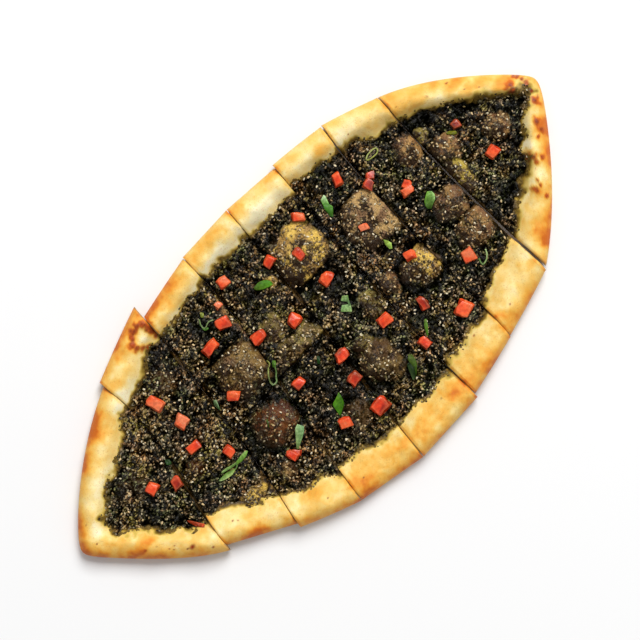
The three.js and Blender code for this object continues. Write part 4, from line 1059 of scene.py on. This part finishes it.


# ---------------------------------------------------------------- tomato
# Fresh tomato cut into small dice and baked on top: wet flesh, deeper red on the skin side, with a painted
# highlight along the edges.
def tomato_material():
    """Red flesh from salmon to crimson by how ripe the piece is, partly painted shade on pieces in shade,
    with a painted highlight along its edges, wet.
    """
    material, tree, surface = new_material("tomato_flesh")
    ripe_and_shaded = read(tree, (-1200, 400), "ripe_and_shaded").outputs["Fac"]
    flesh = ramp(tree, (-900, 400), ripe_and_shaded, [
        (0.0, (0.78, 0.22, 0.10)), (0.3, (0.80, 0.115, 0.028)), (0.55, (0.74, 0.045, 0.006)),
        (0.8, (0.38, 0.018, 0.003)), (1.0, (0.15, 0.008, 0.003)),
    ])
    edge = read(tree, (-1200, 100), "edge").outputs["Fac"]
    # Painted highlight along the edges of the piece.
    painted_edge_highlight = maths(tree, (-800, 100), "MULTIPLY", edge, 0.3)
    colour = mix(tree, (-600, 300), painted_edge_highlight, flesh, (0.90, 0.22, 0.08))
    fibres = noise(tree, (-900, -150), 420.0, 5.0)
    grain = ramp(tree, (-700, -150), fibres, [(0.3, (0.72, 0.62, 0.58)), (0.7, (1.15, 1.15, 1.1))])
    colour = mix(tree, (-400, 200), 1.0, colour, grain, "MULTIPLY")
    tree.links.new(colour, surface.inputs["Base Color"])
    surface.inputs["Roughness"].default_value = 0.3
    surface.inputs["Subsurface Weight"].default_value = 0.2
    surface.inputs["Subsurface Radius"].default_value = (0.0025, 0.0006, 0.0003)
    surface.inputs["Specular IOR Level"].default_value = 0.35
    surface.inputs["Coat Weight"].default_value = 0.12
    surface.inputs["Coat Roughness"].default_value = 0.15
    bump = shader(tree, "ShaderNodeBump", (-300, -300), Height=fibres, Strength=0.5, Distance=0.0005)
    tree.links.new(bump.outputs["Normal"], surface.inputs["Normal"])
    return material


sharp_turn = 0.45  # radians
dice_bevel = 0.0005  # metres
dice_sway = 0.95  # how far the faces of a piece bend, in millimetres


def sharp_edges(mesh):
    """Start and end of each edge where the solid turns by more than the sharp turn."""
    work = bmesh.new()
    work.from_mesh(mesh)
    edges = [edge for edge in work.edges if edge.calc_face_angle(0) > sharp_turn]
    ends = np.array([[vert.co[:] for vert in edge.verts] for edge in edges]) * 1000
    work.free()
    return ends


def distance_to_edges(points, ends):
    """Shortest distance from each point to any of the straight edges."""
    start, run = ends[:, 0], ends[:, 1] - ends[:, 0]
    from_start = points[:, None] - start[None]
    along = clamp((from_start * run).sum(axis=-1) / (run * run).sum(axis=-1))
    return np.linalg.norm(from_start - along[..., None] * run, axis=-1).min(axis=1)


def softened(name, source, width):
    """A copy of a CAD solid with its loose triangles merged, its edges bevelled and its faces
    split finely."""
    mesh = source.data.copy()
    mesh.name = name
    mesh.materials.clear()
    weld(mesh)
    ends = sharp_edges(mesh)
    work = bpy.data.objects.new(name, mesh)
    bpy.context.scene.collection.objects.link(work)
    bevel = work.modifiers.new("rounded edges", "BEVEL")
    bevel.width, bevel.segments = width, 2
    bevel.limit_method, bevel.angle_limit = "ANGLE", sharp_turn
    finer = work.modifiers.new("fine faces", "SUBSURF")
    finer.subdivision_type = "SIMPLE"
    finer.levels = finer.render_levels = 2
    shaped = bpy.data.meshes.new_from_object(work.evaluated_get(bpy.context.evaluated_depsgraph_get()))
    shaped.name = name
    bpy.data.objects.remove(work)
    bpy.data.meshes.remove(mesh)
    return shaped, ends


# How ripe each piece is, from pale salmon at 0 to dark crimson at 1, in the order of the nodes. Some dark
# values are painted shade, for pieces that lie in shade.
ripeness_and_shade = [
    0.58, 0.9, 0.25, 0.1, 0.55, 0.55, 0.45, 0.74, 0.56, 0.62, 0.12, 0.35, 0.62, 0.62, 0.6, 0.74, 0.38, 0.56,
    0.74, 0.7, 0.9, 0.52, 0.7, 0.36, 0.68, 0.94, 0.4, 0.46, 0.0, 0.52, 0.82, 0.4, 0.25, 0.54, 1.1,
]
tomato = tomato_material()
for number, ripe_and_shaded in enumerate(ripeness_and_shade, start=1):
    node = f"tomato_{number:02d}"
    mesh, ends = softened(f"tomato_dice_{number:02d}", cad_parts[node], dice_bevel)
    points = places_of(mesh).T
    x, y, z = points.T
    middle = points.mean(axis=0)
    dent = 0.07 * blotches(x + 3 * z, y - 2 * z, 3.2, 60 + number) - 0.045
    shaped = middle + (points - middle) * (1 + dent)[:, None]
    shaped[:, 0] += dice_sway * blotches(x, y + z, 5.5, 120 + number)
    shaped[:, 1] += dice_sway * blotches(x - z, y, 5.5, 160 + number)
    mesh.vertices.foreach_set("co", (shaped / 1000).astype(np.float32).ravel())
    skin_turn = 2.4 * number
    skin = smooth(0.3 * ((x - middle[0]) * np.cos(skin_turn) + (y - middle[1]) * np.sin(skin_turn)))
    keep(mesh, "ripe_and_shaded", clamp(ripe_and_shaded + 0.25 * skin - 0.12 + 0.15 * blotches(x, y, 4, 80 + number)))
    keep(mesh, "edge", smooth(1.15 - distance_to_edges(points, ends) / 1.1))
    put(mesh, tomato, [node])


# ---------------------------------------------------------------- greens
# Cut herb leaves and slices of spring onion, wilted and oily from the oven, 5 to 30 mm long and half a
# millimetre thick. A blade lies between two edges, chains of (x, y) places from its start to its end. Its
# tones are the colours at the start of both edges and at the end of both: the leaf's own green with painted
# light and shade, pale where a side is lit and near black where it lies in shade.
blades = {
    "forked_leaf": [
        ([(-119.1, -18.9), (-114.0, -18.2), (-109.4, -18.0), (-107.2, -18.6)],
         [(-119.9, -20.8), (-115.7, -21.9), (-110.8, -21.5), (-107.0, -19.8)],
         [(0.114, 0.262, 0.032), (0.061, 0.141, 0.010), (0.305, 0.456, 0.156), (0.188, 0.352, 0.061)]),
        ([(-118.7, -19.1), (-123.7, -18.0), (-127.7, -16.6), (-132.4, -16.1)],
         [(-119.9, -20.2), (-124.5, -19.9), (-128.6, -18.5), (-132.9, -17.4)],
         [(0.188, 0.305, 0.080), (0.080, 0.171, 0.026), (0.305, 0.429, 0.156), (0.156, 0.262, 0.070)]),
        ([(-122.5, -22.0), (-126.4, -20.6), (-130.4, -19.2), (-134.7, -19.1), (-138.2, -19.2)],
         [(-123.8, -22.6), (-127.9, -23.7), (-132.1, -22.9), (-136.2, -21.6), (-138.6, -19.7)],
         [(0.060, 0.130, 0.015), (0.402, 0.546, 0.156), (0.120, 0.230, 0.045), (0.515, 0.644, 0.305)]),
        ([(-119.5, -19.5), (-121.0, -21.3), (-123.8, -22.3)],
         [(-119.1, -20.6), (-120.7, -22.2), (-123.4, -23.0)],
         [(0.102, 0.188, 0.045), (0.102, 0.188, 0.045), (0.156, 0.262, 0.080), (0.156, 0.262, 0.080)]),
    ],
    "long_leaf": [
        ([(-65.8, -32.6), (-69.1, -33.6), (-72.3, -36.9), (-75.9, -40.8), (-79.9, -45.4)],
         [(-63.5, -37.4), (-66.1, -40.0), (-69.5, -42.0), (-74.5, -44.4), (-79.3, -46.6)],
         [(0.352, 0.515, 0.262), (0.188, 0.352, 0.171), (0.188, 0.262, 0.080), (0.127, 0.205, 0.061)]),
    ],
    "diamond_leaf": [
        ([(-26.8, -38.6), (-31.1, -40.2), (-36.5, -41.6), (-37.4, -44.6), (-38.0, -48.4), (-38.7, -51.7)],
         [(-26.5, -38.9), (-27.6, -43.2), (-29.5, -47.3), (-32.9, -49.3), (-35.1, -50.3), (-38.3, -52.1)],
         [(0.091, 0.223, 0.013), (0.032, 0.114, 0.0015), (0.061, 0.223, 0.007), (0.038, 0.127, 0.003)]),
    ],
    "curled_leaf": [
        # The first blade is the leaf's inner side in shade, painted near black.
        ([(24.8, -61.5), (22.6, -65.8), (20.9, -69.6), (19.5, -73.1)],
         [(28.4, -61.4), (27.2, -66.7), (24.8, -70.9), (21.3, -73.8)],
         [(0.012, 0.030, 0.004), (0.002, 0.012, 0.001), (0.090, 0.140, 0.060), (0.004, 0.018, 0.001)]),
        ([(31.1, -57.0), (27.9, -59.3), (27.2, -62.9), (26.6, -66.7), (25.0, -69.9)],
         [(33.0, -59.0), (32.2, -63.7), (30.3, -66.7), (26.9, -69.8), (23.4, -72.7)],
         [(0.100, 0.140, 0.020), (0.070, 0.110, 0.012), (0.006, 0.022, 0.001), (0.030, 0.080, 0.004)]),
    ],
    "onion_slice_1": [
        ([(74.1, 73.9), (69.5, 72.6), (68.3, 68.9)], [(74.5, 72.1), (72.9, 68.5), (71.9, 65.7)],
         [(0.610, 0.730, 0.515), (0.485, 0.680, 0.402), (0.080, 0.240, 0.030), (0.130, 0.320, 0.060)]),
        ([(68.4, 69.0), (66.6, 65.7), (66.3, 61.6), (65.7, 59.0)],
         [(71.9, 65.8), (72.8, 63.1), (70.7, 60.4), (67.0, 57.0)],
         [(0.070, 0.220, 0.025), (0.110, 0.290, 0.050), (0.010, 0.055, 0.001), (0.060, 0.160, 0.020)]),
    ],
    "onion_slice_2": [
        # Pale where it is painted lit, with a painted highlight, and dark towards its end as painted shade.
        ([(130.7, 18.7), (127.4, 17.2), (124.0, 15.2), (121.6, 12.2), (121.3, 9.2)],
         [(133.3, 16.5), (133.0, 13.0), (130.7, 10.4), (127.0, 8.8), (123.1, 7.3)],
         [(0.171, 0.376, 0.045), (0.376, 0.610, 0.242), (0.026, 0.061, 0.005), (0.038, 0.091, 0.007)]),
    ],
    "onion_slice_3": [
        ([(-13.8, 63.3), (-8.5, 63.6), (-4.9, 62.1), (-2.5, 60.1), (-1.1, 57.2), (-1.5, 55.1)],
         [(-14.5, 62.4), (-13.6, 60.0), (-10.5, 57.8), (-7.6, 56.3), (-4.6, 55.0), (-1.9, 54.7)],
         [(0.080, 0.156, 0.021), (0.032, 0.053, 0.0015), (0.045, 0.205, 0.007), (0.141, 0.402, 0.026)]),
    ],
    "crumpled_leaf": [
        ([(28.3, 10.4), (26.5, 9.4), (24.9, 8.3)], [(31.7, 7.6), (30.3, 5.5), (28.8, 3.2)],
         [(0.262, 0.376, 0.127), (0.223, 0.352, 0.102), (0.156, 0.262, 0.102), (0.102, 0.188, 0.070)]),
        ([(28.3, 4.8), (27.0, 2.9), (26.2, 1.5)], [(29.3, 3.8), (28.2, 1.6), (27.4, 0.3)],
         [(0.102, 0.188, 0.070), (0.102, 0.188, 0.070), (0.127, 0.223, 0.091), (0.127, 0.223, 0.091)]),
        ([(23.1, 5.5), (21.0, 4.2), (18.9, 2.7)], [(28.3, 1.5), (26.6, -1.1), (24.9, -3.4)],
         [(0.305, 0.485, 0.223), (0.223, 0.376, 0.141), (0.156, 0.283, 0.080), (0.376, 0.515, 0.223)]),
    ],
    "sprig": [
        ([(-44.0, 14.8), (-46.0, 13.2), (-47.4, 10.6)], [(-42.6, 13.0), (-43.6, 11.0), (-46.0, 9.4)],
         [(0.060, 0.140, 0.010), (0.110, 0.230, 0.020), (0.040, 0.110, 0.008), (0.080, 0.180, 0.020)]),
    ],
    "small_greens": [
        ([(81.0, 17.4), (79.3, 13.9), (79.2, 9.0)], [(82.9, 14.2), (83.5, 11.2), (80.8, 7.6)],
         [(0.402, 0.578, 0.091), (0.429, 0.610, 0.127), (0.223, 0.352, 0.061), (0.305, 0.456, 0.102)]),
        ([(59.2, -47.2), (55.6, -50.1), (53.4, -53.3), (51.4, -57.3)],
         [(60.2, -48.3), (57.5, -52.1), (54.4, -55.5), (52.1, -58.0)],
         [(0.156, 0.223, 0.038), (0.114, 0.223, 0.032), (0.045, 0.141, 0.007), (0.061, 0.171, 0.010)]),
        ([(-55.5, 79.6), (-57.1, 78.4), (-58.0, 76.7)], [(-54.2, 77.8), (-55.1, 76.3), (-56.9, 75.2)],
         [(0.262, 0.283, 0.053), (0.262, 0.283, 0.053), (0.188, 0.223, 0.032), (0.188, 0.223, 0.032)]),
        ([(-97.1, 26.2), (-99.4, 23.4), (-99.7, 20.0), (-99.4, 17.6)],
         [(-95.3, 24.8), (-96.6, 21.5), (-98.1, 18.7), (-98.9, 17.1)],
         [(0.156, 0.242, 0.114), (0.305, 0.429, 0.242), (0.021, 0.061, 0.013), (0.102, 0.188, 0.070)]),
        ([(172.9, 39.2), (175.5, 38.5), (178.8, 35.3), (179.0, 33.4)],
         [(172.6, 38.4), (174.1, 36.1), (176.1, 33.8), (178.3, 32.7)],
         [(0.188, 0.188, 0.010), (0.127, 0.127, 0.007), (0.223, 0.223, 0.017), (0.156, 0.156, 0.013)]),
        ([(-155.4, 21.4), (-156.6, 19.7), (-157.3, 17.6)], [(-153.1, 19.3), (-153.3, 16.7), (-154.8, 15.5)],
         [(0.010, 0.032, 0.005), (0.010, 0.032, 0.005), (0.026, 0.070, 0.017), (0.026, 0.070, 0.017)]),
        ([(-79.3, -13.0), (-81.1, -15.5), (-82.4, -18.6)], [(-78.4, -13.5), (-80.4, -16.3), (-81.9, -19.1)],
         [(0.045, 0.091, 0.007), (0.045, 0.091, 0.007), (0.032, 0.070, 0.005), (0.032, 0.070, 0.005)]),
        ([(-18.2, -7.3), (-20.2, -9.6), (-22.1, -12.0)], [(-16.7, -8.9), (-18.4, -11.5), (-20.8, -13.4)],
         [(0.005, 0.032, 0.003), (0.005, 0.032, 0.003), (0.010, 0.045, 0.005), (0.010, 0.045, 0.005)]),
    ],
}

# Thin cut rings and stems: the chain along the middle, its width, and the tones at both ends.
stems = {
    "sprig": [
        ([(-47.1, 17.9), (-47.0, 14.5), (-50.4, 12.5), (-53.0, 10.2), (-55.4, 7.3), (-57.4, 3.8),
          (-57.0, 1.5)], 1.1, (0.305, 0.305, 0.080), (0.188, 0.242, 0.102)),
        ([(-44.5, 14.1), (-45.7, 10.3), (-48.3, 6.4), (-51.8, 3.5), (-52.7, 1.1), (-55.7, 0.7),
          (-57.8, 1.8)], 1.1, (0.070, 0.141, 0.026), (0.205, 0.283, 0.141)),
    ],
    "small_greens": [
        ([(115.9, 69.1), (118.8, 70.8), (123.4, 71.0), (127.7, 70.3), (128.0, 68.0), (125.2, 66.3),
          (120.6, 66.7), (117.0, 67.4), (115.7, 68.8)], 1.0, (0.456, 0.485, 0.188), (0.305, 0.305, 0.070)),
        ([(-60.0, 76.5), (-62.4, 73.0), (-62.9, 69.3), (-61.2, 68.4), (-58.3, 69.8), (-56.0, 70.1),
          (-52.7, 68.6)], 0.9, (0.156, 0.223, 0.080), (0.205, 0.283, 0.127)),
        ([(-63.0, 70.3), (-62.6, 67.5), (-59.9, 67.1)], 1.4, (0.045, 0.127, 0.013), (0.080, 0.188, 0.032)),
        ([(129.8, -43.7), (127.9, -47.3), (125.0, -49.7), (121.7, -50.7), (119.5, -50.6), (119.9, -47.8),
          (121.2, -45.0)], 1.1, (0.376, 0.456, 0.223), (0.091, 0.171, 0.045)),
    ],
}
leaf_thickness = 0.5
leaf_lift = 0.7  # underside over the paste's mean height


def ground(x, y):
    """Height of the zaatar, whichever strip the point lies on."""
    height = np.full(x.shape, floor_thickness + spread_thickness)
    for strip in strips:
        u = share_across(strip, x, y)
        here = (u > -0.03) & (u < 1.03)
        if here.any():
            height[here] = zaatar_top(strip, x[here], y[here], with_relief=False)
    return height


def even_chain(chain, count):
    """The chain as that many evenly spaced points, its corners rounded by two averagings."""
    points = np.array(chain, dtype=float)
    for count_now in (4 * count, count + 1):
        reach = np.concatenate([[0], np.cumsum(np.linalg.norm(np.diff(points, axis=0), axis=1))])
        at = np.linspace(0, reach[-1], count_now)
        points = np.stack([np.interp(at, reach, points[:, k]) for k in (0, 1)], axis=1)
        inner = (points[:-2] + 2 * points[1:-1] + points[2:]) / 4
        points = np.concatenate([points[:1], inner, points[-1:]])
    return points


def face_outward(mesh):
    """Turns all faces of a closed mesh outward."""
    work = bmesh.new()
    work.from_mesh(mesh)
    bmesh.ops.recalc_face_normals(work, faces=work.faces)
    work.to_mesh(mesh)
    work.free()


def blade(name, edges, tones, steps=(22, 6), arch=0.7, curl=0.35):
    """A thin closed solid between two edges. Its middle rises by arch and its edges by curl.
    Its tone, which holds painted light and shade, is blended in square roots, as the eye sees it, and is
    lighter at both edges as a painted highlight."""
    near, far = even_chain(edges[0], steps[0]), even_chain(edges[1], steps[0])
    s = np.linspace(0, 1, steps[1] + 1)[None, :]
    t = np.linspace(0, 1, len(near))[:, None]
    x = blend(near[:, :1], far[:, :1], s)
    y = blend(near[:, 1:], far[:, 1:], s)
    across = abs(2 * s - 1) + 0 * t
    rise = arch * (1 - across ** 2) * np.sin(np.pi * clamp(t, 0.08, 0.92)) + curl * across ** 3
    z = ground(x, y) + leaf_lift + rise + 0.15 * np.sin(8 * t + 3 * s)
    upper = np.stack([x, y, z + leaf_thickness], axis=-1)
    under = np.stack([x, y, z], axis=-1)
    mesh = slab(name, upper, under, 1, joined=False)
    face_outward(mesh)
    a, b, c, d = np.sqrt(tones)
    t, s = t[..., None], s[..., None]
    tone = (blend(blend(a, b, s), blend(c, d, s), t) ** 2).reshape(-1, 3)
    lit = (1 + 0.35 * across.reshape(-1, 1) ** 6) * tone
    keep_colour(mesh, "tone", np.tile(np.concatenate([lit, np.ones((len(lit), 1))], axis=1), (2, 1)))
    return mesh


def stem(name, chain, width, start, stop):
    """A narrow blade of even width along a chain."""
    middle = even_chain(chain, 30)
    along = np.gradient(middle, axis=0)
    along /= np.linalg.norm(along, axis=1)[:, None]
    aside = np.stack([-along[:, 1], along[:, 0]], axis=1) * width / 2
    return blade(name, (middle - aside, middle + aside), (start, start, stop, stop), steps=(30, 2), arch=0.5)


def joined(name, meshes):
    """One mesh from several, with their stored colours."""
    work = bmesh.new()
    for mesh in meshes:
        work.from_mesh(mesh)
        bpy.data.meshes.remove(mesh)
    whole = bpy.data.meshes.new(name)
    work.to_mesh(whole)
    work.free()
    return whole


def green_material():
    """The leaf's tone, its own green with painted light and shade, mottled by noise along fine ribs, under a
    thin oily coat.
    """
    material, tree, surface = new_material("wilted_greens")
    tone = read(tree, (-900, 300), "tone").outputs["Color"]
    mottle = ramp(tree, (-700, 0), noise(tree, (-900, 0), 520.0, 4.0), [
        (0.32, (0.45, 0.52, 0.40)), (0.66, (1.10, 1.10, 1.0)),
    ])
    tree.links.new(mix(tree, (-400, 200), 1.0, tone, mottle, "MULTIPLY"), surface.inputs["Base Color"])
    surface.inputs["Roughness"].default_value = 0.42
    surface.inputs["Subsurface Weight"].default_value = 0.06
    surface.inputs["Subsurface Radius"].default_value = (0.0006, 0.0012, 0.0004)
    surface.inputs["Specular IOR Level"].default_value = 0.12
    surface.inputs["Coat Weight"].default_value = 0.03
    surface.inputs["Coat Roughness"].default_value = 0.2
    ribs = noise(tree, (-700, -300), 1100.0, 3.0)
    bump = shader(tree, "ShaderNodeBump", (-300, -300), Height=ribs, Strength=0.35, Distance=0.0003)
    tree.links.new(bump.outputs["Normal"], surface.inputs["Normal"])
    return material


green = green_material()
for node in ("long_leaf", "diamond_leaf", "curled_leaf", "onion_slice_1", "onion_slice_2", "onion_slice_3",
             "crumpled_leaf", "forked_leaf", "sprig", "small_greens"):
    parts = [blade("blade", (near, far), tones) for near, far, tones in blades[node]]
    parts += [stem("stem", *values) for values in stems.get(node, [])]
    put(joined(f"green_{node}", parts), green, [] if node == "small_greens" else [node])


# ---------------------------------------------------------------- tomato skin
# One curled sliver of tomato skin, 20 mm long, at the foot of the rim of the left tip.
sliver = blade("tomato_skin", (
    [(-177.1, -22.7), (-175.2, -25.2), (-173.3, -28.5), (-171.3, -31.9), (-169.6, -34.5)],
    [(-177.5, -24.1), (-176.7, -27.6), (-175.6, -30.8), (-173.3, -33.8), (-171.4, -35.9)],
), [(0.25, 0.030, 0.004), (0.10, 0.008, 0.002), (0.60, 0.080, 0.020), (0.45, 0.040, 0.008)])
put(sliver, green, [])


# ---------------------------------------------------------------- size, floor, light, camera
# A plain near-white floor with soft light from the photograph's top and a little from its right,
# seen from straight above.
floor_corners = np.array([[-4, -4, 0], [4, -4, 0], [4, 4, 0], [-4, 4, 0]], dtype=float)  # metres
floor_mesh = mesh_from("floor", floor_corners, [np.array([[0, 1, 2, 3]])])
floor = bpy.data.objects.new("floor", floor_mesh)
bpy.context.scene.collection.objects.link(floor)
matt_white, _, surface = new_material("matt_white")
surface.inputs["Base Color"].default_value = (0.84, 0.84, 0.84, 1)
surface.inputs["Roughness"].default_value = 0.9
floor_mesh.materials.append(matt_white)

scene = bpy.context.scene
scene.view_settings.view_transform = "Standard"
world = bpy.data.worlds.new("soft daylight")
world.use_nodes = True
world.node_tree.nodes["Background"].inputs["Color"].default_value = (1.0, 1.0, 1.0, 1)
world.node_tree.nodes["Background"].inputs["Strength"].default_value = 0.42
scene.world = world


def soft_box(name, place, size, power):
    """A square area light that points at the loaf."""
    light = bpy.data.lights.new(name, "AREA")
    light.size, light.energy = size, power
    lamp = bpy.data.objects.new(name, light)
    scene.collection.objects.link(lamp)
    lamp.location = place
    back = np.array(place) / np.linalg.norm(place)
    lamp.rotation_euler = (np.arccos(back[2]), 0, np.arctan2(back[1], back[0]) + np.pi / 2)


soft_box("window", (3.55, 1.95, 4.82), 3.4, 436.0)

camera_height = 1.8
picture_width = 0.4905  # metres across the picture at the loaf
picture_centre = (0.0034, 0.0098)
loaf_sine, loaf_cosine = 0.7218, 0.6921  # of the angle at which the loaf lies in the picture
sensor_width = 36
camera = bpy.data.cameras.new("camera")
camera.sensor_width = sensor_width
camera.lens = sensor_width * camera_height / picture_width
viewer = bpy.data.objects.new("camera", camera)
scene.collection.objects.link(viewer)
viewer.location = (*picture_centre, camera_height)
viewer.rotation_euler = (0, 0, -np.arctan2(loaf_sine, loaf_cosine))
scene.camera = viewer
